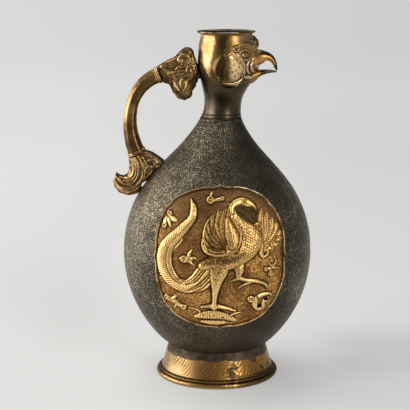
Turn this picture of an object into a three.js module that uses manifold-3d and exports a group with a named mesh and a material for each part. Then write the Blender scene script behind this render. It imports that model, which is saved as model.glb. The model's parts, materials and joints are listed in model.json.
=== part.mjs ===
// Bird-head ewer in parcel-gilt bronze: a pear-shaped body with flattened sides on a flared foot,
// a neck that opens as a bird's head with a hooked beak, a cast handle from the back of the head
// to the shoulder, and a lobed medallion with a striding bird on the front and on the back.
// Millimetres, +Z up, the foot on z = 0, the beak towards +X, the handle towards -X, the front at -Y.
import * as THREE from 'three';
import { mergeVertices } from 'three/addons/utils/BufferGeometryUtils.js';
import Module from 'manifold-3d';

const wasm = await Module();
wasm.setup();

// Joints between the pieces
const seatGap = 0.3;            // left between two soldered or riveted pieces
const sink = 0.5;               // depth at which relief is fused into what carries it
const overrun = 20;             // reach of a cutter past what it cuts

// Foot
const footHeight = 29;          // table to the joint with the body
const footRadius = 53.5;        // half width of the rim on the table
const footRimHeight = 4.2;
const footRimWidth = 6.6;
const footConeRadius = 50.9;    // half width of the cone where it stands on the rim
const footTopRadius = 42.5;     // half width at the joint with the body
const footWall = 2.3;
const footBeadHeight = 2.3;
const footGrooveDepth = 1.5;
const footDepthShare = 0.9;     // front to back over side to side

// Body
const bodyHeight = 198;         // joint with the foot to the neck seam
const bellyRadius = 81.4;       // widest half width
const bellyLevelShare = 0.41;
const bellyDepthShare = 0.85;
const bellyRoundShare = 0.83;
const bodyWall = 2;
const bowlDepth = 9;            // rounded bottom, below the joint with the foot
const seamLean = 3;             // the neck leans this far towards the beak at its seam
const shoulderShares = [
  [0, 1], [0.154, 0.975], [0.308, 0.901], [0.444, 0.787], [0.564, 0.632],
  [0.684, 0.437], [0.803, 0.236], [0.923, 0.074], [1, 0],
];                              // rise from the belly to the seam, width from the seam to the belly

// Neck and head, one raised sheet
const headHeight = 70;          // neck seam to the mouth rim
const neckRadius = 15.75;       // narrowest
const seamFlare = 1.65;         // the neck widens by this much at its seam
const headRadius = 25;          // widest half width
const headShift = 8.7;          // the head's middle stands this far towards the beak
const headWall = 1.8;
const spigotDepth = 6;          // neck sleeve inside the body
const spigotWall = 1.5;
const headShares = [
  [0.1, 0, 0, 0.47], [0.234, 0.04, 0.04, 0.57], [0.327, 0.26, 0.2, 0.68], [0.41, 0.51, 0.43, 0.8],
  [0.493, 0.71, 0.65, 0.85], [0.614, 0.95, 0.84, 0.92], [0.757, 1, 0.9, 1], [0.871, 0.93, 0.82, 0.99],
  [0.964, 0.67, 0.63, 0.885], [1, 0.63, 0.63, 0.84],
];                              // level, half width, half depth, shift towards the beak
const facePinchShare = 0.3;     // the face narrows by this much towards the beak
const facePinchLevels = [0.35, 0.52, 0.8, 0.93];
const cheekRise = 1.6;
const cheekHalfWidth = 11.5;
const cheekHalfHeight = 14;
const cheekLevelShare = 0.6;
const cheekWeltWidth = 2.2;
const cheekWeltRise = 1.3;
const eyeLength = 3.6;          // half the length of the almond
const eyePlaceShare = 0.51;     // forward of the head's middle, of the head's radius
const eyeLevelShare = 0.766;
const earRingRadius = 2.5;
const earRingThickness = 0.8;
const earPlaceShare = 0.3;
const earLevelShare = 0.86;

// Mouth rim
const rimOverhang = 2.9;
const rimHeight = 3;
const rimWaveShare = 0.12;      // the lip is a little thicker towards the beak

// Beak and crest
const beakLength = 18.7;        // from the front of the head to the tip
const beakLevelShare = 0.643;
const upperBeakShares = [
  [-0.16, 0.25, 0.42, 0.6], [0.187, 0.25, 0.39, 0.375], [0.43, 0.31, 0.22, 0.267],
  [0.615, 0.267, 0.155, 0.19], [0.78, 0.086, 0.1, 0.14], [0.91, -0.134, 0.05, 0.075],
  [0.995, -0.31, 0.013, 0.016],
];                              // forward, up, half height, half width
const lowerBeakShares = [
  [-0.267, -0.54, 0.32, 0.4], [0.134, -0.374, 0.172, 0.246], [0.43, -0.305, 0.107, 0.18],
  [0.72, -0.267, 0.064, 0.118], [0.92, -0.28, 0.02, 0.03],
];
const crestRadius = 3.4;
const crestHalfWidth = 5;

// Medallions
const medallionHalfWidth = 54.7;
const medallionHalfHeight = 59.8;
const medallionLevelShare = 0.457;
const medallionShift = 1.7;     // its middle stands this far towards the beak
const plateThickness = 1;
const frameWidth = 2;
const frameRise = 1;
const lobeShares = [[0, 1], [0.1, 0.975], [0.35, 1], [0.7, 1.032], [1, 1.056]];
const birdRise = 3;             // highest relief, on the bird's body
const featherRise = 1.9;
const cloudRise = 1.2;
const pinRadius = 1.7;

// Handle
const gripHalfThickness = 5.4;  // narrowest, seen from the side
const gripHalfDepth = 6.5;
const gripBowShare = 0.375;
const collarLength = 3;
const collarBead = 0.7;
const terminalHalfDepth = 7.4;
const terminalRound = 2;
const cloudHeight = 44;         // cast head of the handle, behind the bird's head
const cloudLevelShare = 0.543;
const cloudOutlineShares = [
  [-0.8, 0.114], [-0.64, 0.21], [-0.455, 0.3], [-0.35, 0.416], [-0.225, 0.466], [-0.123, 0.416],
  [-0.09, 0.33], [-0.04, 0.21], [-0.01, 0], [-0.05, -0.1], [-0.05, -0.245], [-0.125, -0.35],
  [-0.166, -0.457], [-0.27, -0.53], [-0.395, -0.475], [-0.498, -0.37], [-0.56, -0.225],
  [-0.68, -0.186],
];
const leafHeight = 40;          // cast leaf at the handle's foot, on the shoulder
const leafLevelShare = 0.737;
const leafOutlineShares = [
  [-0.43, 0.44], [-0.418, 0.3], [-0.425, 0.187], [-0.463, 0.085], [-0.55, 0.033], [-0.633, 0.05],
  [-0.71, 0.1], [-0.763, -0.027], [-0.752, -0.17], [-0.645, -0.308], [-0.458, -0.373],
  [-0.293, -0.343], [-0.142, -0.275], [-0.183, -0.175], [-0.133, -0.085], [0.037, -0.012],
  [0.338, 0.225], [0.365, 0.34], [0.205, 0.457], [0.067, 0.547], [-0.06, 0.59],
];
const lugHalfHeight = 5;        // tenon between the handle's head and the bird's head
const lugHalfDepth = 4;
const lugLength = 7;
const legPinRadius = 2.4;       // rivets between the leaf and the shoulder
const legPinLength = 6;
const highPinShare = 0.77;
const lowPinShare = 0.684;

// Facets
const bodySides = 32;
const headSides = 28;
const footSides = 32;
const beakSides = 8;
const lobeSides = 3;            // along each of the eight lobes
const lowBandCount = 8;         // of the body below the belly
const highBandCount = 9;        // and above it
const weltStepCount = 8;
const ringStepCount = 10;       // round an ear ring
const gripStepCount = 12;
const pinSides = 8;
const small = 1e-3;             // step of the numeric slopes, as a share

// Places that follow from the sizes
const seamRadius = neckRadius + seamFlare;
const seamLevel = footHeight + bodyHeight;
const bellyLevel = footHeight + bellyLevelShare * bodyHeight;
const mouthLevel = seamLevel + headHeight;

/** Smooth value along an axis, through hand-chosen [place, value] knots. */
function smoothThrough(knots) {
  const last = knots.length - 1;
  const slope = (i) => {
    const before = knots[Math.max(i - 1, 0)];
    const after = knots[Math.min(i + 1, last)];
    return (after[1] - before[1]) / (after[0] - before[0]);
  };
  return (place) => {
    const at = THREE.MathUtils.clamp(place, knots[0][0], knots[last][0]);
    let i = 0;
    while (i < last - 1 && knots[i + 1][0] < at) i += 1;
    const span = knots[i + 1][0] - knots[i][0];
    const t = (at - knots[i][0]) / span;
    const rise = t * t * (3 - 2 * t);
    const leave = t * (1 - t) * (1 - t) * span;
    const arrive = t * t * (t - 1) * span;
    const between = THREE.MathUtils.lerp(knots[i][1], knots[i + 1][1], rise);
    return between + slope(i) * leave + slope(i + 1) * arrive;
  };
}

/** A ring of points, one for each of `count` equal turns of the angle. */
function ringOf(count, pointAt) {
  return Array.from({ length: count }, (_, i) => pointAt((i / count) * Math.PI * 2));
}

/** Signed volume of an indexed triangle list. */
function signedVolume(points, faces) {
  return faces.reduce((sum, [a, b, c]) => sum + points[a].dot(points[b].clone().cross(points[c])), 0) / 6;
}

/** Closed solid through a stack of rings, capped at both ends or joined end to end. */
function loft(rings, joined = false) {
  const sides = rings[0].length;
  const points = rings.flat();
  const faces = [];
  const bands = joined ? rings.length : rings.length - 1;
  for (let band = 0; band < bands; band += 1) {
    const low = band * sides;
    const high = ((band + 1) % rings.length) * sides;
    for (let i = 0; i < sides; i += 1) {
      const j = (i + 1) % sides;
      faces.push([low + i, low + j, high + j], [low + i, high + j, high + i]);
    }
  }
  if (!joined) {
    [[0, 1], [(rings.length - 1) * sides, -1]].forEach(([start, way]) => {
      const middle = new THREE.Vector3();
      for (let i = 0; i < sides; i += 1) middle.addScaledVector(points[start + i], 1 / sides);
      points.push(middle);
      for (let i = 0; i < sides; i += 1) {
        const pair = [start + ((i + 1) % sides), start + i];
        if (way < 0) pair.reverse();
        faces.push([points.length - 1, ...pair]);
      }
    });
  }
  if (signedVolume(points, faces) < 0) faces.forEach((face) => face.reverse());
  const geometry = new THREE.BufferGeometry();
  const places = points.flatMap((point) => point.toArray());
  geometry.setAttribute('position', new THREE.Float32BufferAttribute(places, 3));
  geometry.setIndex(faces.flat());
  return geometry;
}

/** The same shape as a solid that can be joined and cut. */
function solidOf(geometry) {
  const bare = geometry.clone();
  bare.deleteAttribute('normal');
  bare.deleteAttribute('uv');
  const merged = mergeVertices(bare);
  return new wasm.Manifold(new wasm.Mesh({
    numProp: 3,
    vertProperties: new Float32Array(merged.attributes.position.array),
    triVerts: new Uint32Array(merged.index.array),
  }));
}

/** A joined or cut solid as a geometry again. */
function geometryOf(solid) {
  const mesh = solid.getMesh();
  const geometry = new THREE.BufferGeometry();
  geometry.setAttribute('position', new THREE.BufferAttribute(new Float32Array(mesh.vertProperties), 3));
  geometry.setIndex(Array.from(mesh.triVerts));
  return geometry;
}

/** Mirror image of a geometry across the plane through the beak and the handle. */
function mirrored(geometry) {
  const copy = geometry.clone().scale(1, -1, 1);
  const corners = copy.index.array;
  for (let i = 0; i < corners.length; i += 3) {
    [corners[i], corners[i + 1]] = [corners[i + 1], corners[i]];
  }
  return copy;
}

// Body surface

const shoulderWidth = smoothThrough(shoulderShares);

/** Half width and level along the body's profile: -1 bottom, 0 foot joint, 1 belly, 2 neck seam. */
function bodyProfile(along) {
  if (along < 0) {
    const out = 1 + along;
    return { half: out * footTopRadius, level: footHeight - bowlDepth * (1 - out * out) };
  }
  if (along < 1) {
    const share = (1 - (1 - along) ** 2) ** bellyRoundShare;
    return {
      half: THREE.MathUtils.lerp(footTopRadius, bellyRadius, share),
      level: THREE.MathUtils.lerp(footHeight, bellyLevel, along),
    };
  }
  return {
    half: THREE.MathUtils.lerp(seamRadius, bellyRadius, shoulderWidth(along - 1)),
    level: THREE.MathUtils.lerp(bellyLevel, seamLevel, along - 1),
  };
}

/** Place along the profile that lies at a level, above the foot joint. */
function alongAt(level) {
  if (level < bellyLevel) return (level - footHeight) / (bellyLevel - footHeight);
  return 1 + (level - bellyLevel) / (seamLevel - bellyLevel);
}

/** Front-to-back size over side-to-side size at a level. */
function bodyDepth(level) {
  const foot = THREE.MathUtils.smoothstep(level, footHeight, bellyLevel);
  const neck = THREE.MathUtils.smoothstep(level, bellyLevel, seamLevel);
  return THREE.MathUtils.lerp(THREE.MathUtils.lerp(footDepthShare, bellyDepthShare, foot), 1, neck);
}

/** How far the body's middle stands towards the beak at a level. */
function bodyLean(level) {
  const share = THREE.MathUtils.clamp((level - bellyLevel) / (seamLevel - bellyLevel), 0, 1);
  return seamLean * share ** 4;
}

/** Point of the body's outer surface. */
function onBody(angle, along) {
  const { half, level } = bodyProfile(along);
  return new THREE.Vector3(
    bodyLean(level) + half * Math.cos(angle),
    bodyDepth(level) * half * Math.sin(angle),
    level,
  );
}

/** Point at a distance `lift` outside the body's surface. */
function offBody(angle, along, lift) {
  const around = onBody(angle + small, along).sub(onBody(angle - small, along));
  const up = onBody(angle, Math.min(along + small, 2)).sub(onBody(angle, along - small));
  return onBody(angle, along).addScaledVector(around.cross(up).normalize(), lift);
}

const bodyStationShares = [
  -0.75, -0.45, -0.2,
  ...Array.from({ length: lowBandCount }, (_, i) => (i / lowBandCount) ** 1.3),
  ...Array.from({ length: highBandCount + 1 }, (_, i) => 1 + i / highBandCount),
];
const liningStationShares = [-0.7, -0.4, -0.1, 0.05, 0.2, 0.4, 0.7, 1.05, 1.3, 1.55, 1.8];

/** The body's outer skin, grown by `lift`, as a capped solid that other pieces are fitted to. */
function bodyEnvelope(lift) {
  const rings = bodyStationShares.map((along) => ringOf(bodySides, (angle) => offBody(angle, along, lift)));
  return solidOf(loft(rings));
}

/** Point on the front of the body over a place (x, z), at a height above the surface. */
function overBody(x, z, lift) {
  const along = alongAt(z);
  const { half, level } = bodyProfile(along);
  const angle = -Math.acos(THREE.MathUtils.clamp((x - bodyLean(level)) / half, -1, 1));
  return offBody(angle, along, lift);
}

// Head surface

const headRows = [
  [0, seamRadius, seamRadius, seamLean],
  ...headShares.map(([level, width, depth, shift]) => [
    level,
    THREE.MathUtils.lerp(neckRadius, headRadius, width),
    THREE.MathUtils.lerp(neckRadius, headRadius, depth),
    shift * headShift,
  ]),
];
const [headWidth, headDepth, headMiddle] = [1, 2, 3].map(
  (column) => smoothThrough(headRows.map((row) => [row[0], row[column]])),
);

/** Swelling of the cheeks over a place of the head's side. */
function cheekSwell(x, level) {
  const aside = (x - headMiddle(cheekLevelShare)) / cheekHalfWidth;
  const above = (level - cheekLevelShare) * headHeight / cheekHalfHeight;
  return cheekRise * (1 - THREE.MathUtils.smoothstep(Math.hypot(aside, above), 0.7, 1.1));
}

/** How much of the head's depth is left at a place round it: less on the face, towards the beak. */
function faceDepth(angle, level) {
  const [low, lowFull, highFull, high] = facePinchLevels;
  const above = THREE.MathUtils.smoothstep(level, low, lowFull);
  const band = above - THREE.MathUtils.smoothstep(level, highFull, high);
  return 1 - facePinchShare * band * Math.max(Math.cos(angle), 0) ** 2;
}

/** Point of the head's skin at a level share, grown by `lift`. */
function onHead(angle, level, lift) {
  const x = headMiddle(level) + (headWidth(level) + lift) * Math.cos(angle);
  const swell = lift < 0 ? 0 : cheekSwell(x, level) * Math.abs(Math.sin(angle));
  return new THREE.Vector3(
    x,
    (headDepth(level) * faceDepth(angle, level) + lift + swell) * Math.sin(angle),
    seamLevel + level * headHeight,
  );
}

/** Point on the front side of the head over a place (x, z), at a height above the skin. */
function overHead(x, z, lift) {
  const level = (z - seamLevel) / headHeight;
  const angle = -Math.acos(THREE.MathUtils.clamp((x - headMiddle(level)) / headWidth(level), -1, 1));
  return onHead(angle, level, lift);
}

const headStationShares = [0.07, 0.17, 0.27, 0.35, 0.41, 0.47, 0.54, 0.61, 0.68, 0.75, 0.82, 0.89, 0.95, 1];
const throatStationShares = [1, 0.87, 0.7, 0.5, 0.32, 0.1];

/** The head's outer skin, grown by `lift`, as a capped solid. */
function headEnvelope(lift) {
  const levels = [0, ...headStationShares];
  const ringAt = (level) => ringOf(headSides, (angle) => onHead(angle, level, lift));
  return solidOf(loft(levels.map(ringAt)));
}

// Relief

const domeShares = [[-1, 0], [-0.6, 0.75], [0, 1], [0.6, 0.75], [1, 0]];
const ridgeShares = [[-1, 0], [0, 1], [1, 0]];

/** Raised stroke along a path of [x, z, half width] rows on a surface. */
function stroke(surface, path, rise, section = ridgeShares) {
  const rings = path.map(([x, z, half], i) => {
    const before = path[Math.max(i - 1, 0)];
    const after = path[Math.min(i + 1, path.length - 1)];
    const way = new THREE.Vector2(after[0] - before[0], after[1] - before[1]).normalize();
    return section.map(([side, share]) => surface(
      x - way.y * side * half,
      z + way.x * side * half,
      share > 0 ? share * rise(half) : -sink,
    ));
  });
  return solidOf(loft(rings));
}

// Pieces

function makeBodyShell() {
  const skinRing = (along) => ringOf(bodySides, (angle) => offBody(angle, along, 0));
  const liningRing = (along) => ringOf(bodySides, (angle) => offBody(angle, along, -bodyWall));
  const lip = ringOf(bodySides, (angle) => new THREE.Vector3(
    seamLean + (seamRadius - bodyWall) * Math.cos(angle),
    (seamRadius - bodyWall) * Math.sin(angle),
    seamLevel,
  ));
  const skin = bodyStationShares.map(skinRing);
  const lining = liningStationShares.map(liningRing);
  return loft([...skin, lip, ...lining.reverse()]);
}

/** Crescent welt along the back and the lower edge of a cheek. */
function makeCheekWelt() {
  const middle = headMiddle(cheekLevelShare);
  const path = Array.from({ length: weltStepCount + 1 }, (_, i) => {
    const turn = THREE.MathUtils.degToRad(140 + i * 160 / weltStepCount);
    const swell = Math.sin(Math.PI * (i + 0.4) / (weltStepCount + 0.8));
    return [
      middle + cheekHalfWidth * Math.cos(turn),
      seamLevel + cheekLevelShare * headHeight + cheekHalfHeight * Math.sin(turn),
      cheekWeltWidth * (0.3 + 0.7 * swell),
    ];
  });
  return stroke(overHead, path, (half) => cheekWeltRise * half / cheekWeltWidth);
}

function makeEye() {
  const x = headMiddle(eyeLevelShare) + eyePlaceShare * headRadius;
  const place = overHead(x, seamLevel + eyeLevelShare * headHeight, 0);
  const eye = new THREE.SphereGeometry(eyeLength, 10, 6).scale(1, 0.5, 0.55).rotateZ(-0.6);
  return solidOf(eye.translate(place.x, place.y, place.z));
}

function makeEarRing() {
  const x = headMiddle(earLevelShare) + earPlaceShare * headRadius;
  const z = seamLevel + earLevelShare * headHeight;
  const section = [[-1, -sink], [0, earRingThickness], [1, -sink]];
  const rings = ringOf(ringStepCount, (angle) => section.map(([out, lift]) => {
    const reach = earRingRadius + out * earRingThickness;
    return overHead(x + reach * Math.cos(angle), z + reach * Math.sin(angle), lift);
  }));
  return solidOf(loft(rings, true));
}

function makeNeckHeadShell() {
  const sleeve = (radius, level) => ringOf(headSides, (angle) => new THREE.Vector3(
    seamLean + radius * Math.cos(angle),
    radius * Math.sin(angle),
    level,
  ));
  const spigotRadius = seamRadius - bodyWall - seatGap;
  const ringAt = (level, lift) => ringOf(headSides, (angle) => onHead(angle, level, lift));
  const shell = loft([
    sleeve(spigotRadius, seamLevel - spigotDepth),
    sleeve(spigotRadius, seamLevel + seatGap),
    sleeve(seamRadius, seamLevel + seatGap),
    ...headStationShares.map((level) => ringAt(level, 0)),
    ...throatStationShares.map((level) => ringAt(level, -headWall)),
    sleeve(spigotRadius - spigotWall, seamLevel - spigotDepth),
  ], true);
  const relief = [makeCheekWelt(), makeEye(), makeEarRing()];
  const farRelief = relief.map((piece) => solidOf(mirrored(geometryOf(piece))));
  return geometryOf([...relief, ...farRelief].reduce((whole, piece) => whole.add(piece), solidOf(shell)));
}

function makeMouthRim() {
  const section = [
    [-headWall, seatGap], [0, seatGap], [0.5 * rimOverhang, 0.4 * rimHeight],
    [rimOverhang, 0.62 * rimHeight], [rimOverhang, 0.85 * rimHeight], [0.7 * rimOverhang, rimHeight],
    [0, 0.85 * rimHeight], [-headWall, 0.6 * rimHeight],
  ];
  const rings = section.map(([out, up]) => ringOf(headSides, (angle) => {
    const place = new THREE.Vector3(
      headMiddle(1) + (headWidth(1) + out) * Math.cos(angle),
      (headDepth(1) + out) * Math.sin(angle),
      mouthLevel + up,
    );
    if (up > seatGap) place.z += (up - rimHeight) * rimWaveShare * (1 - Math.cos(angle));
    return place;
  }));
  return loft(rings, true);
}

// Beak: its places are shares of its length, measured from the front of the head

const beakRoot = {
  x: headMiddle(beakLevelShare) + headWidth(beakLevelShare),
  z: seamLevel + beakLevelShare * headHeight,
};

function beakSolid(shares) {
  const rows = shares.map((row) => row.map((share) => share * beakLength));
  const rings = rows.map(([forward, up, halfHeight, halfWidth], i) => {
    const before = rows[Math.max(i - 1, 0)];
    const after = rows[Math.min(i + 1, rows.length - 1)];
    const way = new THREE.Vector2(after[0] - before[0], after[1] - before[1]).normalize();
    return ringOf(beakSides, (angle) => new THREE.Vector3(
      beakRoot.x + forward - way.y * halfHeight * Math.cos(angle),
      halfWidth * Math.sin(angle),
      beakRoot.z + up + way.x * halfHeight * Math.cos(angle),
    ));
  });
  return solidOf(loft(rings));
}

function makeCrest() {
  const [, up, halfHeight] = upperBeakShares[0].map((share) => share * beakLength);
  const z = beakRoot.z + up + halfHeight + seatGap + crestRadius;
  const level = (z - seamLevel) / headHeight;
  const knob = new THREE.SphereGeometry(crestRadius, 10, 6).scale(1, crestHalfWidth / crestRadius, 1);
  return solidOf(knob.translate(headMiddle(level) + headWidth(level), 0, z));
}

// Medallion: its places are shares of its half width and half height

const medallionLevel = footHeight + medallionLevelShare * bodyHeight;

/** Lobed outline, shrunk by `inset`, as [x, z] points. */
function lobedOutline(inset) {
  const lobe = smoothThrough(lobeShares);
  return ringOf(8 * lobeSides, (angle) => {
    const eighth = Math.PI / 4;
    const turn = (angle / eighth) % 2;
    const reach = lobe(turn > 1 ? 2 - turn : turn);
    return [
      medallionShift + (medallionHalfWidth - inset) * reach * Math.cos(angle),
      medallionLevel + (medallionHalfHeight - inset) * reach * Math.sin(angle),
    ];
  });
}

/** Prism of the lobed outline from the middle of the body out past its front. */
function lobedPrism(inset) {
  const outline = lobedOutline(inset);
  const reach = bellyRadius + overrun;
  return solidOf(loft([0, -reach].map((y) => outline.map(([x, z]) => new THREE.Vector3(x, y, z)))));
}

const birdMassShares = [
  // tail
  [[-0.4, 0.8, 0.012], [-0.386, 0.65, 0.04], [-0.508, 0.49, 0.055], [-0.66, 0.34, 0.075],
    [-0.788, 0.14, 0.1], [-0.806, -0.055, 0.12], [-0.742, -0.235, 0.125], [-0.59, -0.355, 0.115],
    [-0.394, -0.335, 0.135], [-0.227, -0.24, 0.15]],
  // back and breast
  [[-0.3, -0.21, 0.1], [-0.12, -0.09, 0.16], [0.09, 0, 0.19], [0.3, 0.07, 0.2], [0.455, 0.17, 0.16],
    [0.545, 0.275, 0.08]],
  // neck and head
  [[0.41, 0.29, 0.14], [0.326, 0.475, 0.09], [0.227, 0.59, 0.06], [0.174, 0.67, 0.045],
    [0.205, 0.755, 0.055], [0.295, 0.775, 0.085], [0.36, 0.765, 0.06], [0.45, 0.76, 0.035],
    [0.505, 0.69, 0.012]],
];
const birdStrokeShares = [
  // lower beak and crest
  [[0.33, 0.73, 0.04], [0.44, 0.69, 0.012]],
  [[0.27, 0.81, 0.035], [0.12, 0.735, 0.012]],
  // standing leg, its toes and the rock under them
  [[-0.106, -0.13, 0.12], [-0.079, -0.29, 0.075], [-0.079, -0.447, 0.042], [-0.079, -0.64, 0.036]],
  [[-0.258, -0.67, 0.014], [-0.079, -0.64, 0.04], [0.227, -0.67, 0.014]],
  [[-0.35, -0.82, 0.03], [-0.06, -0.8, 0.085], [0.227, -0.8, 0.03]],
  // raised leg and its claws
  [[0.267, -0.02, 0.11], [0.242, -0.15, 0.08], [0.233, -0.27, 0.045], [0.38, -0.275, 0.034],
    [0.59, -0.335, 0.034], [0.68, -0.41, 0.012]],
  [[0.57, -0.33, 0.034], [0.485, -0.405, 0.026], [0.27, -0.39, 0.012]],
];
const wingShares = [
  // near wing and its shoulder
  [[0.25, 0.2, 0.1], [0.1, 0.34, 0.19], [-0.02, 0.46, 0.2], [-0.05, 0.58, 0.12]],
  [[-0.25, 0.24, 0.012], [-0.17, 0.14, 0.035], [-0.056, 0.095, 0.045], [0.08, 0.1, 0.045],
    [0.189, 0.15, 0.035], [0.304, 0.293, 0.012]],
  // far wing
  [[0.52, 0.22, 0.07], [0.66, 0.31, 0.14], [0.75, 0.42, 0.13], [0.74, 0.53, 0.07]],
];
const nearWingTipShares = [
  [0.19, 0.69], [0.035, 0.71], [-0.11, 0.65], [-0.205, 0.52], [-0.25, 0.35], [-0.235, 0.18],
];
const nearWingRootShares = [0.27, 0.2];
const farWingTipShares = [[0.636, 0.645], [0.758, 0.54], [0.864, 0.385], [0.894, 0.235], [0.788, 0.12]];
const farWingRootShares = [0.515, 0.2];
const cloudStrokeShares = [
  [[-0.18, 0.8, 0.03], [-0.12, 0.82, 0.055], [0.03, 0.81, 0.02]],
  [[-0.82, 0.48, 0.02], [-0.742, 0.54, 0.055], [-0.66, 0.46, 0.02]],
  [[-0.53, 0.02, 0.02], [-0.455, 0.045, 0.06], [-0.37, -0.03, 0.02]],
  [[0.68, -0.21, 0.02], [0.758, -0.17, 0.06], [0.83, -0.11, 0.02]],
  [[-0.8, -0.57, 0.02], [-0.72, -0.575, 0.055], [-0.62, -0.62, 0.02]],
  [[0.4, -0.56, 0.02], [0.47, -0.56, 0.06], [0.58, -0.62, 0.02]],
];

/** Pinion from the root of a wing to one of its tips, widest near the tip. */
function pinion(root, tip, half) {
  return [[0.12, 0.4], [0.6, 1], [0.88, 1], [1, 0.25]].map(([along, width]) => [
    THREE.MathUtils.lerp(root[0], tip[0], along),
    THREE.MathUtils.lerp(root[1], tip[1], along),
    half * width,
  ]);
}

function makeMedallion() {
  const plateLift = seatGap + plateThickness;
  const toSize = ([across, up, half]) => [
    medallionShift + across * medallionHalfWidth,
    medallionLevel + up * medallionHalfHeight,
    half * medallionHalfWidth,
  ];
  const overPlate = (x, z, lift) => overBody(x, z, plateLift + lift);
  const widest = 0.2 * medallionHalfWidth;
  const swell = (half) => birdRise * Math.sqrt(half / widest);
  const figures = [
    ...birdMassShares.map((path) => [path, swell, domeShares]),
    ...birdStrokeShares.map((path) => [path, swell]),
    ...wingShares.map((path) => [path, () => featherRise, path.length > 4 ? ridgeShares : domeShares]),
    ...nearWingTipShares.map((tip) => [pinion(nearWingRootShares, tip, 0.075), () => 1.2 * featherRise]),
    ...farWingTipShares.map((tip) => [pinion(farWingRootShares, tip, 0.065), () => 1.2 * featherRise]),
    ...cloudStrokeShares.map((path) => [path, () => cloudRise]),
  ];
  const band = lobedPrism(0).subtract(lobedPrism(frameWidth));
  const frame = band.intersect(bodyEnvelope(plateLift + frameRise));
  const blank = lobedPrism(0).intersect(bodyEnvelope(plateLift)).add(frame);
  const plate = blank.subtract(bodyEnvelope(seatGap));
  return geometryOf(figures.reduce(
    (whole, [path, rise, section]) => whole.add(stroke(overPlate, path.map(toSize), rise, section)),
    plate,
  ));
}

/** Domed rivet head on the frame, at one of its four tips. */
function makePin(turn) {
  const base = plateThickness + frameRise + 2 * seatGap;
  const inset = frameWidth / 2 + pinRadius;
  const place = overBody(
    medallionShift + (medallionHalfWidth - inset) * Math.cos(turn),
    medallionLevel + (medallionHalfHeight - inset) * Math.sin(turn),
    base,
  );
  const dome = new THREE.SphereGeometry(pinRadius, pinSides, pinSides / 2).translate(place.x, place.y, place.z);
  return geometryOf(solidOf(dome).subtract(bodyEnvelope(base)));
}

// Foot: an ellipse all the way, with the body's depth at the joint

/** Closed ring of a section of [half width, level] points. */
function footSolid(section) {
  return loft(section.map(([half, level]) => ringOf(footSides, (angle) => new THREE.Vector3(
    half * Math.cos(angle),
    footDepthShare * half * Math.sin(angle),
    level,
  ))), true);
}

function makeFootRim() {
  const inner = footRadius - footRimWidth;
  return footSolid([
    [inner, 0], [footRadius - 0.25 * footRimHeight, 0], [footRadius, 0.3 * footRimHeight],
    [footRadius, 0.6 * footRimHeight], [footRadius - 0.3 * footRimHeight, footRimHeight],
    [inner, footRimHeight],
  ]);
}

function makeFootRing() {
  const base = footRimHeight + seatGap;
  const groove = base + footBeadHeight;
  const cone = (share) => [
    THREE.MathUtils.lerp(footConeRadius - footGrooveDepth, footTopRadius, share ** 0.75),
    THREE.MathUtils.lerp(groove, footHeight, share),
  ];
  const outside = [0, 0.3, 0.65, 1].map(cone);
  const inside = outside.map(([half, level]) => [half - footWall, level]).reverse();
  const top = footHeight + footWall;
  const ring = footSolid([
    [footConeRadius - footGrooveDepth - footWall, base], [footConeRadius, base],
    [footConeRadius, groove - 0.4 * footBeadHeight],
    ...outside,
    [footTopRadius, top], [footTopRadius - footWall, top],
    ...inside.slice(0, -1),
  ]);
  return geometryOf(solidOf(ring).subtract(bodyEnvelope(seatGap)));
}

// Handle: its cast ends are placed on the head and on the shoulder, and the grip runs between them

/** Outline of a cast end, with its first and last points on the collar. */
function castEnd(shares, size, anchor) {
  const points = shares.map(([x, z]) => new THREE.Vector2(anchor.x + x * size, anchor.y + z * size));
  const first = points[0];
  const last = points[points.length - 1];
  const across = first.clone().sub(last).normalize();
  const inward = points.reduce((sum, p) => sum.add(p), new THREE.Vector2()).divideScalar(points.length);
  const centre = first.clone().add(last).divideScalar(2);
  const away = new THREE.Vector2(-across.y, across.x);
  if (away.dot(inward.sub(centre)) > 0) away.negate();
  return { points, centre, away, half: first.distanceTo(last) / 2 };
}

/** Rounded solid of a cast end, as thick as the terminals are. */
function castSolid({ points }) {
  const outline = new THREE.Shape(points);
  const geometry = new THREE.ExtrudeGeometry(outline, {
    depth: 2 * (terminalHalfDepth - terminalRound),
    bevelThickness: terminalRound,
    bevelSize: 0.8 * terminalRound,
    bevelOffset: -0.8 * terminalRound,
    bevelSegments: 2,
    curveSegments: 1,
  });
  return solidOf(geometry.rotateX(Math.PI / 2).translate(0, terminalHalfDepth - terminalRound, 0));
}

/** Eight-sided ring across a bar in the plane of the handle. */
function barRing(centre, way, half, depth) {
  const corners = [
    [1, 0.45], [0.5, 1], [-0.5, 1], [-1, 0.45], [-1, -0.45], [-0.5, -1], [0.5, -1], [1, -0.45],
  ];
  return corners.map(([out, deep]) => new THREE.Vector3(
    centre.x - way.y * out * half,
    deep * depth,
    centre.y + way.x * out * half,
  ));
}

const cloudLevel = cloudLevelShare * headHeight + seamLevel;
const cloudEnd = castEnd(cloudOutlineShares, cloudHeight, new THREE.Vector2(
  headMiddle(cloudLevelShare) - headWidth(cloudLevelShare),
  cloudLevel,
));
const leafLevel = footHeight + leafLevelShare * bodyHeight;
const leafEnd = castEnd(leafOutlineShares, leafHeight, new THREE.Vector2(
  bodyLean(leafLevel) - bodyProfile(alongAt(leafLevel)).half,
  leafLevel,
));

/** Two-beaded collar on a cast end. */
function makeCollar({ centre, away, half }) {
  const beads = [[0, 0], [0.1, 1], [0.4, 1], [0.5, 0.1], [0.6, 1], [0.9, 1], [1, 0]];
  return loft(beads.map(([along, bead]) => barRing(
    centre.clone().addScaledVector(away, seatGap + along * collarLength),
    away,
    half - collarBead * (1 - bead),
    gripHalfDepth + collarBead * bead,
  )));
}

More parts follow.
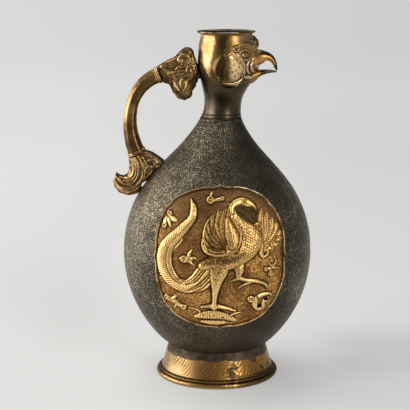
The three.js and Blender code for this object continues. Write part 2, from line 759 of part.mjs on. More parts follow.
function makeGrip() {
  const reach = 2 * seatGap + collarLength;
  const start = cloudEnd.centre.clone().addScaledVector(cloudEnd.away, reach);
  const end = leafEnd.centre.clone().addScaledVector(leafEnd.away, reach);
  const bow = gripBowShare * start.distanceTo(end);
  const path = new THREE.CubicBezierCurve(
    start,
    start.clone().addScaledVector(cloudEnd.away, bow),
    end.clone().addScaledVector(leafEnd.away, bow),
    end,
  );
  const thickness = smoothThrough([
    [0, cloudEnd.half - collarBead], [0.25, 1.06 * gripHalfThickness], [0.45, gripHalfThickness],
    [0.75, 1.1 * gripHalfThickness], [1, leafEnd.half - collarBead],
  ]);
  const rings = Array.from({ length: gripStepCount + 1 }, (_, i) => i / gripStepCount).map((share) => barRing(
    path.getPoint(share),
    path.getTangent(share),
    thickness(share),
    gripHalfDepth,
  ));
  return loft(rings);
}

/** Tenon between the handle's head and the bird's head, grown by `grow`. */
function lugSolid(grow) {
  const back = headMiddle(cloudLevelShare) - headWidth(cloudLevelShare);
  const deep = 2 * (lugHalfDepth + grow);
  const high = 2 * (lugHalfHeight + grow);
  const block = new THREE.BoxGeometry(lugLength + 2 * grow, deep, high);
  return solidOf(block.translate(back, 0, cloudLevel));
}

/** Rivet between the leaf and the shoulder at a share of the body's height, grown by `grow`. */
function legPin(share, grow) {
  const along = alongAt(footHeight + share * bodyHeight);
  const foot = offBody(Math.PI, along, -overrun);
  const tip = offBody(Math.PI, along, legPinLength + grow);
  const radius = legPinRadius + grow;
  const pin = new THREE.CylinderGeometry(radius, radius, foot.distanceTo(tip), 10);
  pin.applyQuaternion(new THREE.Quaternion().setFromUnitVectors(
    new THREE.Vector3(0, 1, 0),
    tip.clone().sub(foot).normalize(),
  ));
  return solidOf(pin.translate(...foot.add(tip).divideScalar(2).toArray()));
}

// Finishes and assembly

const gilt = { color: 0xb98a3e, roughness: 0.34, metalness: 1 };
const giltDark = { color: 0x8a6429, roughness: 0.42, metalness: 1 };
const bronze = { color: 0x4a463b, roughness: 0.55, metalness: 0.9 };
const bronzeSmooth = { color: 0x3a3022, roughness: 0.38, metalness: 0.9 };

const ewer = new THREE.Group();

function add(name, geometry, finish) {
  const mesh = new THREE.Mesh(geometry, new THREE.MeshStandardMaterial(finish));
  mesh.name = name;
  ewer.add(mesh);
}

add('foot_rim', makeFootRim(), giltDark);
add('foot_ring', makeFootRing(), gilt);
add('body_shell', makeBodyShell(), bronze);
add('neck_head_shell', makeNeckHeadShell(), gilt);
add('mouth_rim', makeMouthRim(), bronze);

const headFit = headEnvelope(seatGap);
add('upper_beak', geometryOf(beakSolid(upperBeakShares).subtract(headFit)), bronzeSmooth);
add('lower_beak', geometryOf(beakSolid(lowerBeakShares).subtract(headFit)), bronzeSmooth);
add('head_crest', geometryOf(makeCrest().subtract(headFit)), giltDark);

const medallion = makeMedallion();
add('front_medallion', medallion, gilt);
add('back_medallion', mirrored(medallion), gilt);
['east', 'north', 'west', 'south'].forEach((side, quarter) => {
  const pin = makePin(quarter * Math.PI / 2);
  add(`front_pin_${side}`, pin, bronzeSmooth);
  add(`back_pin_${side}`, mirrored(pin), bronzeSmooth);
});

const bodyFit = bodyEnvelope(seatGap);
const cloud = castSolid(cloudEnd).subtract(headFit).subtract(lugSolid(seatGap));
add('handle_head', geometryOf(cloud), gilt);
add('handle_head_lug', geometryOf(lugSolid(0).subtract(headFit)), bronzeSmooth);
add('handle_upper_collar', makeCollar(cloudEnd), gilt);
add('handle_grip', makeGrip(), gilt);
add('handle_lower_collar', makeCollar(leafEnd), gilt);
const leaf = castSolid(leafEnd).subtract(bodyFit);
const pinHoles = legPin(highPinShare, seatGap).add(legPin(lowPinShare, seatGap));
add('handle_leaf', geometryOf(leaf.subtract(pinHoles)), gilt);
add('handle_leaf_pin_high', geometryOf(legPin(highPinShare, 0).subtract(bodyFit)), bronzeSmooth);
add('handle_leaf_pin_low', geometryOf(legPin(lowPinShare, 0).subtract(bodyFit)), bronzeSmooth);

// The middle of the whole, between the belly and the leaf, stands over the origin
const span = new THREE.Box3().setFromObject(ewer);
ewer.position.x = -(span.min.x + span.max.x) / 2;

export default ewer;
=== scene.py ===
"""Bird-head ewer in parcel-gilt bronze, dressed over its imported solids.

Sizes are in millimetres from the vessel's own axis and the table, as in the solids' source, and turn
into metres of the shared frame when a mesh is made: +Z up, the beak towards +X, the handle towards -X,
the photographed front at -Y.
"""
from __future__ import annotations

import json
import logging
import math
from dataclasses import dataclass, field
from enum import Enum
from functools import partial
from typing import Callable, Iterable, Sequence

import bmesh
import bpy
import numpy as np
from mathutils import Matrix, Vector

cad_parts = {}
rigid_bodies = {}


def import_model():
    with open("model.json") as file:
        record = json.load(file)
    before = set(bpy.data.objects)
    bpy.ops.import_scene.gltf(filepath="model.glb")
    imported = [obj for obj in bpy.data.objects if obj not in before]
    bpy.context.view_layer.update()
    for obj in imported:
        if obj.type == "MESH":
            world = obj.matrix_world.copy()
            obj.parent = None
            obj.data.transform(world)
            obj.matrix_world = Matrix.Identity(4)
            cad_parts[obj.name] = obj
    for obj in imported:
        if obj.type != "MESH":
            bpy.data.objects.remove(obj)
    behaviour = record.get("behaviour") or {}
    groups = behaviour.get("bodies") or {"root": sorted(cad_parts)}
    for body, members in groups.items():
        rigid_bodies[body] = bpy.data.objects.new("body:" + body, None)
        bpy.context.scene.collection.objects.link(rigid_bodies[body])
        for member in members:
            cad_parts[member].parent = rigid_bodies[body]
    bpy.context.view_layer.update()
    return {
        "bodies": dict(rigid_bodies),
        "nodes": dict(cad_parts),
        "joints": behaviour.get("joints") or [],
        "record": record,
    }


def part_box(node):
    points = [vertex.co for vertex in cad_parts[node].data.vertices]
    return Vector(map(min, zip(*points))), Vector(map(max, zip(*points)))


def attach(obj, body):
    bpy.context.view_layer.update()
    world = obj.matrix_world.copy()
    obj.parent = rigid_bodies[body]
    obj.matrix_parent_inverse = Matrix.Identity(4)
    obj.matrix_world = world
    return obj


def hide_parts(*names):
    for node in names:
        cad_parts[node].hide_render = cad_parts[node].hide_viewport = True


Array = np.ndarray
Spot = tuple[float, float, float]
Path = Sequence[Sequence[float]]
Marks = dict[str, Array]
LOG = logging.getLogger("ewer")
MM = 0.001
FULL = 2 * math.pi
FINE = 5           # steps between two places of a given path
FAR = 9.0          # a distance beyond every stroke's reach


class Cut(Enum):
    """Section of a raised stroke, as the power that rounds it off."""

    DOME = 0.5
    SOFT = 1.0
    RIDGE = 0.7
    RIB = 0.0      # a low blade with a raised middle


class Side(Enum):
    """Front of the vessel, towards the camera, or its back."""

    FRONT = -1
    BACK = 1


# Shared arithmetic


def smoothstep(value: Array | float, low: float, high: float) -> Array:
    """Smooth step from 0 at `low` to 1 at `high`."""
    share = np.clip((np.asarray(value, float) - low) / (high - low), 0, 1)
    return share * share * (3 - 2 * share)


def bell(value: Array, width: float) -> Array:
    """Bell curve over `width`, 1 where the value is 0."""
    return np.exp(-((value / width) ** 2))


def smooth_through(knots: Path) -> Callable[[Array], Array]:
    """Cubic curve through [place, value] knots.

    Args:
        knots: rows of place and value, the places rising.

    Returns:
        A function from places to values.
    """
    place, value = np.array(knots, float).T
    last = len(place) - 1
    before = np.maximum(np.arange(last + 1) - 1, 0)
    after = np.minimum(np.arange(last + 1) + 1, last)
    slope = (value[after] - value[before]) / (place[after] - place[before])

    def curve(where: Array) -> Array:
        """Follows the curve.

        Args:
            where: places.

        Returns:
            Its values there.
        """
        at = np.clip(np.asarray(where, float), place[0], place[-1])
        i = np.clip(np.searchsorted(place, at, side="right") - 1, 0, last - 1)
        span = place[i + 1] - place[i]
        t = (at - place[i]) / span
        body = value[i] + (value[i + 1] - value[i]) * t * t * (3 - 2 * t)
        return body + slope[i] * t * (1 - t) ** 2 * span + slope[i + 1] * t * t * (t - 1) * span

    return curve


def finer(rows: Array, count: int) -> Array:
    """Smooth rows at even steps of the run over their first two columns.

    Args:
        rows: places across and up, and further values.
        count: how many rows are wanted.

    Returns:
        The new rows, each with its run put before it.
    """
    run = np.r_[0, np.cumsum(np.hypot(*np.diff(rows[:, :2], axis=0).T))]
    at = np.linspace(0, run[-1], count)
    return np.stack([at, *(smooth_through(np.c_[run, column])(at) for column in rows.T)], -1)


def smooth_path(path: Path, across: float, up: float) -> Array:
    """Finer rows of [across, up, half width] in millimetres along a path of shares."""
    rows = np.array(path, float) * (across, up, across)
    return finer(rows, (len(rows) - 1) * FINE + 1)[:, 1:]


def value_noise(x: Array, y: Array | float, size: float, seed: int) -> Array:
    """Smooth noise between -1 and 1, the same in each run.

    Args:
        x: places across.
        y: places up.
        size: width of its patches.
        seed: start of its random table.

    Returns:
        The noise at the places.
    """
    table = np.random.default_rng(seed).uniform(-1, 1, (64, 64))
    gx, gy = np.asarray(x) / size, np.asarray(y) / size
    ix, iy = np.floor(gx).astype(int), np.floor(gy).astype(int)
    tx, ty = smoothstep(gx - ix, 0, 1), smoothstep(gy - iy, 0, 1)
    low, high = (table[ix % 64, row % 64] * (1 - tx) + table[(ix + 1) % 64, row % 64] * tx
                 for row in (iy, iy + 1))
    return low * (1 - ty) + high * ty


def blurred(heights: Array, radius: float) -> Array:
    """Blurs a grid of heights.

    Args:
        heights: the grid.
        radius: width of the blur in cells.

    Returns:
        The blurred grid.
    """
    reach = max(1, int(math.ceil(radius * 2.5)))
    weights = np.exp(-0.5 * (np.arange(-reach, reach + 1) / radius) ** 2)
    out = np.pad(heights, reach, mode="edge")
    for axis in (0, 1):
        out = np.apply_along_axis(np.convolve, axis, out, weights / weights.sum(), "valid")
    return out


def hollows(height: Array, cell: float) -> Array:
    """How deep each place of a grid lies among its neighbours, from 0 to 1."""
    near, far = (blurred(height, reach / cell) - height for reach in (0.75, 2.2))
    return np.clip(0.5 + near * 1.5 + far * 0.3, 0, 1)


def around(count: int) -> Array:
    """Even angles round the vessel."""
    return np.linspace(0, FULL, count, endpoint=False)


def among(values: Array, rows: int, before: int = 0) -> Array:
    """Marks of some rings, with 0 on the others of all `rows`."""
    return np.pad(values, ((before, rows - before - len(values)), (0, 0)))


# Surfaces of the vessel, with the same formulas as the solids


@dataclass(frozen=True)
class BodySurface:
    """Outer skin of the pear-shaped body."""

    foot_height: float = 29.0
    foot_radius: float = 42.5
    foot_depth: float = 0.9
    height: float = 198.0
    belly_radius: float = 81.4
    belly_share: float = 0.41
    belly_depth: float = 0.85
    roundness: float = 0.83
    bowl_depth: float = 9.0
    seam_radius: float = 17.4
    seam_lean: float = 3.0
    shoulder: Path = ((0, 1), (0.154, 0.975), (0.308, 0.901), (0.444, 0.787), (0.564, 0.632),
                      (0.684, 0.437), (0.803, 0.236), (0.923, 0.074), (1, 0))

    @property
    def belly_level(self) -> float:
        """Level of the widest place."""
        return self.foot_height + self.belly_share * self.height

    @property
    def seam_level(self) -> float:
        """Level of the neck seam."""
        return self.foot_height + self.height

    def lean(self, level: Array) -> Array:
        """Lean of the middle towards the beak at a level."""
        share = (level - self.belly_level) / (self.seam_level - self.belly_level)
        return self.seam_lean * np.clip(share, 0, 1) ** 4

    def profile(self, along: Array) -> tuple[Array, Array]:
        """Profile of the skin.

        Args:
            along: -1 at the bottom, 0 at the foot joint, 1 at the belly, 2 at the neck seam.

        Returns:
            Half widths and levels.
        """
        along = np.asarray(along, float)
        out, low, up = (np.clip(along + more, 0, 1) for more in (1, 0, -1))
        share = (1 - (1 - low) ** 2) ** self.roundness
        half = np.where(along < 0, out * self.foot_radius, np.where(
            along < 1, self.foot_radius + (self.belly_radius - self.foot_radius) * share,
            self.seam_radius + (self.belly_radius - self.seam_radius) * smooth_through(self.shoulder)(up)))
        level = np.where(along < 0, self.foot_height - self.bowl_depth * (1 - out * out), np.where(
            along < 1, self.foot_height + (self.belly_level - self.foot_height) * low,
            self.belly_level + (self.seam_level - self.belly_level) * up))
        return half, level

    def along_at(self, level: Array) -> Array:
        """Place along the profile.

        Args:
            level: levels above the foot joint.

        Returns:
            Places as `profile` takes them.
        """
        low = (level - self.foot_height) / (self.belly_level - self.foot_height)
        high = 1 + (level - self.belly_level) / (self.seam_level - self.belly_level)
        return np.where(level < self.belly_level, low, high)

    def point(self, angle: Array, along: Array) -> Array:
        """Points of the skin.

        Args:
            angle: angles round the body.
            along: places along its profile.

        Returns:
            The points in millimetres.
        """
        half, level = self.profile(along)
        depth = self.foot_depth + (self.belly_depth - self.foot_depth) * smoothstep(
            level, self.foot_height, self.belly_level)
        depth = depth + (1 - depth) * smoothstep(level, self.belly_level, self.seam_level)
        x = self.lean(level) + half * np.cos(angle)
        return np.stack([x, depth * half * np.sin(angle), level + 0 * x], -1)

    def off(self, angle: Array, along: Array, lift: Array | float) -> Array:
        """Points outside the skin.

        Args:
            angle: angles round the body.
            along: places along its profile.
            lift: distance from the skin.

        Returns:
            The points in millimetres.
        """
        small = 1e-3
        side = self.point(angle + small, along) - self.point(angle - small, along)
        up = self.point(angle, np.minimum(along + small, 2)) - self.point(angle, along - small)
        normal = np.cross(side, up)
        normal /= np.maximum(np.linalg.norm(normal, axis=-1, keepdims=True), 1e-12)
        return self.point(angle, along) + normal * np.asarray(lift)[..., None]

    def over(self, x: Array, z: Array, lift: Array | float, side: Side) -> Array:
        """Points over the front or the back.

        Args:
            x: places across.
            z: levels.
            lift: distance from the skin.
            side: which face of the body.

        Returns:
            The points in millimetres.
        """
        along = self.along_at(z)
        half, level = self.profile(along)
        turn = np.arccos(np.clip((x - self.lean(level)) / half, -1, 1))
        return self.off(side.value * turn, along, lift)

    def tube(self, angle: Array, radius: float, level: float) -> Array:
        """One round ring about the middle of the neck seam."""
        return np.stack([self.seam_lean + radius * np.cos(angle), radius * np.sin(angle),
                         np.full(len(angle), level)], -1)[None]


@dataclass(frozen=True)
class HeadSurface:
    """Outer skin of the neck and the bird's head."""

    base: float = 227.0
    height: float = 70.0
    neck: float = 15.75
    radius: float = 25.0
    shift: float = 8.7
    seam: Spot = (17.4, 17.4, 3.0)
    cheek: tuple[float, ...] = (1.6, 11.5, 14.0, 0.6)
    pinch: float = 0.3
    pinch_levels: tuple[float, ...] = (0.35, 0.52, 0.8, 0.93)
    shares: Path = (
        (0.1, 0, 0, 0.47), (0.234, 0.04, 0.04, 0.57), (0.327, 0.26, 0.2, 0.68), (0.41, 0.51, 0.43, 0.8),
        (0.493, 0.71, 0.65, 0.85), (0.614, 0.95, 0.84, 0.92), (0.757, 1, 0.9, 1), (0.871, 0.93, 0.82, 0.99),
        (0.964, 0.67, 0.63, 0.885), (1, 0.63, 0.63, 0.84))

    def column(self, which: int) -> Callable[[Array], Array]:
        """One measure of the skin as a curve over the level share.

        Args:
            which: 1 for the half width, 2 for the half depth, 3 for the middle.

        Returns:
            The curve.
        """
        start, spread = (0, self.shift) if which == 3 else (self.neck, self.radius - self.neck)
        rest = ((row[0], start + spread * row[which]) for row in self.shares)
        return smooth_through([(0, self.seam[which - 1]), *rest])

    def cheek_swell(self, x: Array, level: Array) -> Array:
        """Swelling of the cheek.

        Args:
            x: places across.
            level: shares of the height.

        Returns:
            How far it lifts the skin.
        """
        rise, width, height, middle = self.cheek
        far = np.hypot((x - self.column(3)(middle)) / width, (level - middle) * self.height / height)
        return rise * (1 - smoothstep(far, 0.7, 1.1))

    def point(self, angle: Array, level: Array, lift: Array | float = 0.0) -> Array:
        """Points of the skin.

        Args:
            angle: angles round the head.
            level: shares of its height.
            lift: distance outwards.

        Returns:
            The points in millimetres.
        """
        low, low_full, high_full, high = self.pinch_levels
        band = smoothstep(level, low, low_full) - smoothstep(level, high_full, high)
        face = 1 - self.pinch * band * np.maximum(np.cos(angle), 0) ** 2
        x = self.column(3)(level) + (self.column(1)(level) + lift) * np.cos(angle)
        swell = np.where(np.asarray(lift) < 0, 0, self.cheek_swell(x, level) * np.abs(np.sin(angle)))
        y = (self.column(2)(level) * face + lift + swell) * np.sin(angle)
        return np.stack([x, y, self.base + level * self.height + 0 * x], -1)

    def over(self, x: float, z: float, lift: float, side: Side) -> Array:
        """Point over the side of the head.

        Args:
            x: its place across.
            z: its level.
            lift: distance from the skin.
            side: which side of the head.

        Returns:
            The point in millimetres.
        """
        level = (z - self.base) / self.height
        turn = math.acos(max(-1, min(1, (x - self.column(3)(level)) / self.column(1)(level))))
        return self.point(np.array(side.value * turn), np.array(level), lift)


# Raised strokes on a flat sheet of places


@dataclass
class Brush:
    """What a stroke says at each place: nearness (1 at its edge), side, run along it, distance out."""

    near: Array
    side: Array
    along: Array
    out: Array

    @classmethod
    def over(cls, x: Array, y: Array, rows: Array) -> "Brush":
        """Lays a path over places.

        Args:
            x: places across, in millimetres.
            y: places up, in millimetres.
            rows: the finer path, of [x, y, half width].

        Returns:
            The brush over all the places.
        """
        brush = cls(np.full(x.shape, FAR), np.zeros(x.shape), np.zeros(x.shape), np.full(x.shape, FAR))
        run = 0.0
        for a, b in zip(rows[:-1], rows[1:]):
            way = b[:2] - a[:2]
            length = max(float(np.hypot(*way)), 1e-6)
            reach = max(a[2], b[2]) + 1.2
            spot = np.flatnonzero(
                (x > min(a[0], b[0]) - reach) & (x < max(a[0], b[0]) + reach)
                & (y > min(a[1], b[1]) - reach) & (y < max(a[1], b[1]) + reach))
            if spot.size:
                px, py = x.flat[spot] - a[0], y.flat[spot] - a[1]
                t = np.clip((px * way[0] + py * way[1]) / length ** 2, 0, 1)
                dx, dy = px - t * way[0], py - t * way[1]
                half = np.maximum(a[2] + t * (b[2] - a[2]), 0.05)
                far = np.hypot(dx, dy)
                near = far / half
                better = near < brush.near.flat[spot]
                took = spot[better]
                for grid, found in ((brush.near, near), (brush.along, run + t * length), (brush.out, far - half),
                                    (brush.side, near * np.sign(way[0] * dy - way[1] * dx))):
                    grid.flat[took] = found[better]
            run += length
        return brush

    def height(self, cut: Cut, rise: float = 1.0) -> Array:
        """Raises a section over the places.

        Args:
            cut: the section.
            rise: its greatest height.

        Returns:
            The heights.
        """
        inside = np.clip(1 - self.near ** 2, 0, 1)
        if cut is Cut.RIB:
            return rise * (0.45 * np.sqrt(inside) + 0.55 * bell(self.side, 0.24) * (inside > 0))
        return rise * inside ** cut.value


@dataclass
class Sheet:
    """Height field that strokes are laid on, one layer over the other."""

    x: Array
    y: Array
    height: Array = field(init=False)
    figure: Array = field(init=False)
    # how much painted shade lies over the gilding at each place
    tint: Array = field(init=False)

    def __post_init__(self) -> None:
        """Starts with a bare sheet."""
        self.height, self.figure, self.tint = np.zeros((3, *self.x.shape))

    def lay(self, own: Array, out: Array, edge: float = 0.3, tint: Array | float = 0.0) -> None:
        """Lays a form over what is there, with a dark line round it.

        Args:
            own: the form's height.
            out: distance from its outline in millimetres, negative inside.
            edge: depth of the line round it.
            tint: how much painted shade lies on it.
        """
        inside = smoothstep(-out, -0.25, 0.2)
        self.height = np.maximum(self.height * (1 - inside), own)
        self.height -= edge * bell(out - 0.45, 0.32) * (1 - inside)
        self.figure = np.maximum(self.figure, inside)
        self.tint = self.tint * (1 - inside) + tint * inside

    def stroke(self, rows: Array, cut: Cut, rise: float, edge: float) -> None:
        """Lays one stroke along finer rows."""
        brush = Brush.over(self.x, self.y, rows)
        self.lay(brush.height(cut, rise), brush.out, edge)

    def darken(self, rows: Array, depth: float) -> None:
        """Paints shade over the gilding along a path, most in its middle."""
        self.tint = np.maximum(self.tint, depth * Brush.over(self.x, self.y, rows).height(Cut.SOFT))

    def ring(self, x: float, y: float, radius: float, rise: float) -> None:
        """Lays a raised ring with a sunk eye round a dot.

        Args:
            x: its middle across, in millimetres.
            y: its middle up, in millimetres.
            radius: its outer radius.
            rise: its height.
        """
        far = np.hypot(self.x - x, self.y - y)
        raised = np.maximum(bell(far - radius * 0.78, radius * 0.26), 0.7 * bell(far, radius * 0.26))
        disc = smoothstep(-far, -radius * 1.15, -radius * 0.9)
        ringed = np.maximum(self.height, 0.35 * rise) * 0.55 + rise * raised
        self.height = self.height * (1 - disc) + ringed * disc
        self.figure = np.maximum(self.figure, disc)


# Meshes


def added(name: str, data: bpy.types.ID) -> bpy.types.Object:
    """Adds an object to the scene.

    Args:
        name: its name.
        data: its mesh, light or camera.

    Returns:
        The new object.
    """
    thing = bpy.data.objects.new(name, data)
    bpy.context.scene.collection.objects.link(thing)
    return thing


def applied(piece: bpy.types.Object) -> bpy.types.Mesh:
    """New mesh of a piece with its modifiers worked in."""
    graph = bpy.context.evaluated_depsgraph_get()
    return bpy.data.meshes.new_from_object(piece.evaluated_get(graph), depsgraph=graph)


def set_mark(mesh: bpy.types.Mesh, name: str, values: Array, kind: str = "FLOAT") -> None:
    """Keeps a value or a direction at each point of a mesh."""
    layer = mesh.attributes.new(name, kind, "POINT")
    layer.data.foreach_set("value" if kind == "FLOAT" else "vector", np.asarray(values, np.float32).ravel())


def loft_faces(rows: int, columns: int, joined: bool) -> list[Array]:
    """Faces of a stack of closed rings.

    Args:
        rows: how many rings there are.
        columns: places in each ring.
        joined: whether the last ring joins the first; else two last places close the ends.

    Returns:
        The quads, and the triangles of the ends.
    """
    low = (np.arange(rows if joined else rows - 1) * columns)[:, None]
    high = (low + columns) % (rows * columns)
    i = np.arange(columns)
    j = np.roll(i, -1)
    quads = np.stack([low + i, low + j, high + j, high + i], -1).reshape(-1, 4)
    if joined:
        return [quads]
    middle, end = np.full(columns, rows * columns), (rows - 1) * columns
    return [quads, np.r_[np.stack([middle, j, i], -1), np.stack([middle + 1, end + i, end + j], -1)]]


@dataclass
class Workshop:
    """Turns places into pieces of the shared frame."""

    axis: float
    finishes: dict[str, bpy.types.Material]

    def mesh(self, name: str, places: Array, faces: Iterable[Array], marks: Marks) -> bpy.types.Object:
        """Makes a closed piece with its faces outwards, or loose points.

        Args:
            name: the piece's name.
            places: its points in millimetres.
            faces: arrays of quads and triangles.
            marks: values at its points that its finish reads.

        Returns:
            The new object, linked to the scene.
        """
        spots = (places.reshape(-1, 3) + (self.axis / MM, 0, 0)) * MM
        corners = ((spots[face[:, n]] for n in (0, k, k + 1)) for face in faces for k in range(1, face.shape[1] - 1))
        if sum(float(np.einsum("ij,ij->", a, np.cross(b, c))) for a, b, c in corners) < 0:
            faces = [face[:, ::-1] for face in faces]
        mesh = bpy.data.meshes.new(name)
        mesh.from_pydata(spots.tolist(), [], [corner for face in faces for corner in face.tolist()])
        for mark, values in marks.items():
            set_mark(mesh, mark, values)
        mesh.shade_smooth()
        mesh.validate()
        return added(name, mesh)

    def loft(self, name: str, rings: Array, marks: Marks, joined: bool = False) -> bpy.types.Object:
        """Closed piece through a stack of rings.

        Args:
            name: the piece's name.
            rings: rows of places in millimetres.
            marks: rows of values that its finish reads.
            joined: whether the last ring joins the first; else both ends are capped.

        Returns:
            The new object.
        """
        places, flat = rings.reshape(-1, 3), {key: grid.ravel() for key, grid in marks.items()}
        if not joined:
            places = np.r_[places, [rings[0].mean(0), rings[-1].mean(0)]]
            flat = {key: np.r_[grid.ravel(), grid[0].mean(), grid[-1].mean()] for key, grid in marks.items()}
        return self.mesh(name, places, loft_faces(*rings.shape[:2], joined), flat)

    def finish(self, piece: bpy.types.Object, finish: str, slot: str, *nodes: str) -> None:
        """Dresses a piece and hands it over.

        Args:
            piece: the piece.
            finish: name of its finish.
            slot: not used.
            nodes: the solids that it stands for.
        """
        piece.data.materials.clear()
        piece.data.materials.append(self.finishes[finish])
        if nodes:
            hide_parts(*nodes)
        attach(piece, "root")
        LOG.info("%s: %d faces", piece.name, len(piece.data.polygons))


# Nodes


class Value:
    """A socket in arithmetic: each operator adds a Math node to its net."""

    def __init__(self, net: Net, socket: bpy.types.NodeSocket) -> None:
        """Keeps the socket and its net."""
        self.net, self.socket = net, socket

    def __add__(self, other: object) -> Value:
        """Sum."""
        return self.net.math("ADD", self, other)

    def __sub__(self, other: object) -> Value:
        """Difference."""
        return self.net.math("SUBTRACT", self, other)

    def __rsub__(self, other: object) -> Value:
        """Difference from a number."""
        return self.net.math("SUBTRACT", other, self)

    def __mul__(self, other: object) -> Value:
        """Product."""
        return self.net.math("MULTIPLY", self, other)

    def __truediv__(self, other: object) -> Value:
        """Quotient."""
        return self.net.math("DIVIDE", self, other)

    def __rtruediv__(self, other: object) -> Value:
        """Quotient of a number."""
        return self.net.math("DIVIDE", other, self)

    def __or__(self, other: object) -> Value:
        """The greater of the two."""
        return self.net.math("MAXIMUM", self, other)

    def __abs__(self) -> Value:
        """Size without the sign."""
        return self.net.math("ABSOLUTE", self)

    def span(self, low: float, high: float, to_low: float = 0.0, to_high: float = 1.0,
             smooth: bool = True) -> Value:
        """Brings the value from one range to another.

        Args:
            low: start of its own range.
            high: end of its own range.
            to_low: what the start becomes.
            to_high: what the end becomes.
            smooth: whether it eases in and out.

        Returns:
            The new value.
        """
        node = self.net.node("ShaderNodeMapRange", self, low, high, to_low, to_high,
                             interpolation_type="SMOOTHSTEP" if smooth else "LINEAR")
        return Value(self.net, node.outputs["Result"])


class Net:
    """Short way to add and join the nodes of a tree."""

    def __init__(self, tree: bpy.types.NodeTree) -> None:
        """Starts on a tree."""
        self.tree = tree

    @classmethod
    def group(cls, name: str, **inputs: object) -> tuple[Net, dict[str, Value]]:
        """Starts a shared shader group.

        Args:
            name: the group's name.
            inputs: its sockets, as in `sockets`.

        Returns:
            Its net, and what it is given, by name.
        """
        net = cls(bpy.data.node_groups.new(name, "ShaderNodeTree"))
        net.sockets("INPUT", **inputs)
        return net, {socket.name: Value(net, socket) for socket in net.node("NodeGroupInput").outputs}

    def give(self, **outputs: Value) -> bpy.types.NodeTree:
        """Ends a shared group.

        Args:
            outputs: the colours and values that it puts out.

        Returns:
            Its tree.
        """
        self.sockets("OUTPUT", **{label: "Color" if value.socket.type == "RGBA" else "Float"
                                  for label, value in outputs.items()})
        self.node("NodeGroupOutput", **outputs)
        return self.tree

    def sockets(self, way: str, **labels: object) -> None:
        """Adds named sockets to a group.

        Args:
            way: INPUT or OUTPUT.
            labels: a word is a socket's kind, three numbers its colour, one number its value.
        """
        for label, given in labels.items():
            kind = given if isinstance(given, str) else "Color" if isinstance(given, tuple) else "Float"
            socket = self.tree.interface.new_socket(label, in_out=way, socket_type="NodeSocket" + kind)
            if kind != given:
                socket.default_value = (*given, 1) if kind == "Color" else given

    def node(self, kind: str, *inputs: object, **named: object) -> bpy.types.Node:
        """Adds a node.

        Args:
            kind: its type.
            inputs: what its first sockets get.
            named: its settings, and under a capital letter what the socket of that name gets.

        Returns:
            The new node.
        """
        node = self.tree.nodes.new(kind)
        for key, value in named.items():
            if key[0].islower():
                setattr(node, key, value)
        for socket, value in zip(node.inputs, inputs):
            self.put(socket, value)
        for key, value in named.items():
            if key[0].isupper():
                self.put(node.inputs[key], value)
        return node

    def put(self, socket: bpy.types.NodeSocket, value: object) -> None:
        """Joins a socket to a value, another socket or a node's first output, or sets it.

        Args:
            socket: an input.
            value: what it gets; a colour gets its alpha here.
        """
        if isinstance(value, Value):
            value = value.socket
        elif isinstance(value, bpy.types.Node):
            value = value.outputs[0]
        if isinstance(value, bpy.types.NodeSocket):
            self.tree.links.new(value, socket)
        else:
            socket.default_value = (*value, 1) if socket.type == "RGBA" else value

    def use(self, tree: bpy.types.NodeTree, **inputs: object) -> dict[str, Value]:
        """Adds a shared group and gives what it puts out, by name."""
        return {socket.name: Value(self, socket)
                for socket in self.node("ShaderNodeGroup", node_tree=tree, **inputs).outputs}

    def math(self, operation: str, *given: object) -> Value:
        """Arithmetic on numbers."""
        return Value(self, self.node("ShaderNodeMath", *given, operation=operation).outputs[0])

    def vector(self, operation: str, *given: object, **named: object) -> Value:
        """Arithmetic on vectors."""
        node = self.node("ShaderNodeVectorMath", *given, operation=operation, **named)
        return Value(self, node.outputs["Value" if operation in ("LENGTH", "DOT_PRODUCT") else "Vector"])

    def mix(self, share: object, a: object, b: object) -> Value:
        """Mix of two colours."""
        return Value(self, self.node("ShaderNodeMix", data_type="RGBA", Factor=share, A=a, B=b).outputs["Result"])

    def noise(self, place: object, scale: float, detail: float, rough: float) -> Value:
        """Noise between 0 and 1 at a scale in features per metre."""
        return Value(self, self.node("ShaderNodeTexNoise", Vector=place, Scale=scale, Detail=detail,
                                     Roughness=rough).outputs["Fac"])

    def mark(self, name: str) -> Value:
        """A piece's own mark."""
        return Value(self, self.node("ShaderNodeAttribute", attribute_name=name).outputs["Fac"])


class Paint(Net):
    """Net of a new material, with its shader and the places that it colours."""

    def __init__(self, name: str, **inputs: object) -> None:
        """Starts the material.

        Args:
            name: its name.
            inputs: its shader's inputs, as in `dress`.
        """
        self.material = bpy.data.materials.new(name)
        self.material.use_nodes = True
        super().__init__(self.material.node_tree)
        where = self.node("ShaderNodeTexCoord").outputs
        self.place, self.normal = Value(self, where["Object"]), Value(self, where["Normal"])
        axes = self.node("ShaderNodeSeparateXYZ", self.place).outputs
        self.x, self.y, self.z = (Value(self, axis) for axis in axes)
        self.dress(**inputs)

    def dress(self, **inputs: object) -> None:
        """Gives the shader its inputs, with `_` for a blank in a name."""
        for label, value in inputs.items():
            self.put(self.tree.nodes["Principled BSDF"].inputs[label.replace("_", " ")], value)


# Sub-assemblies


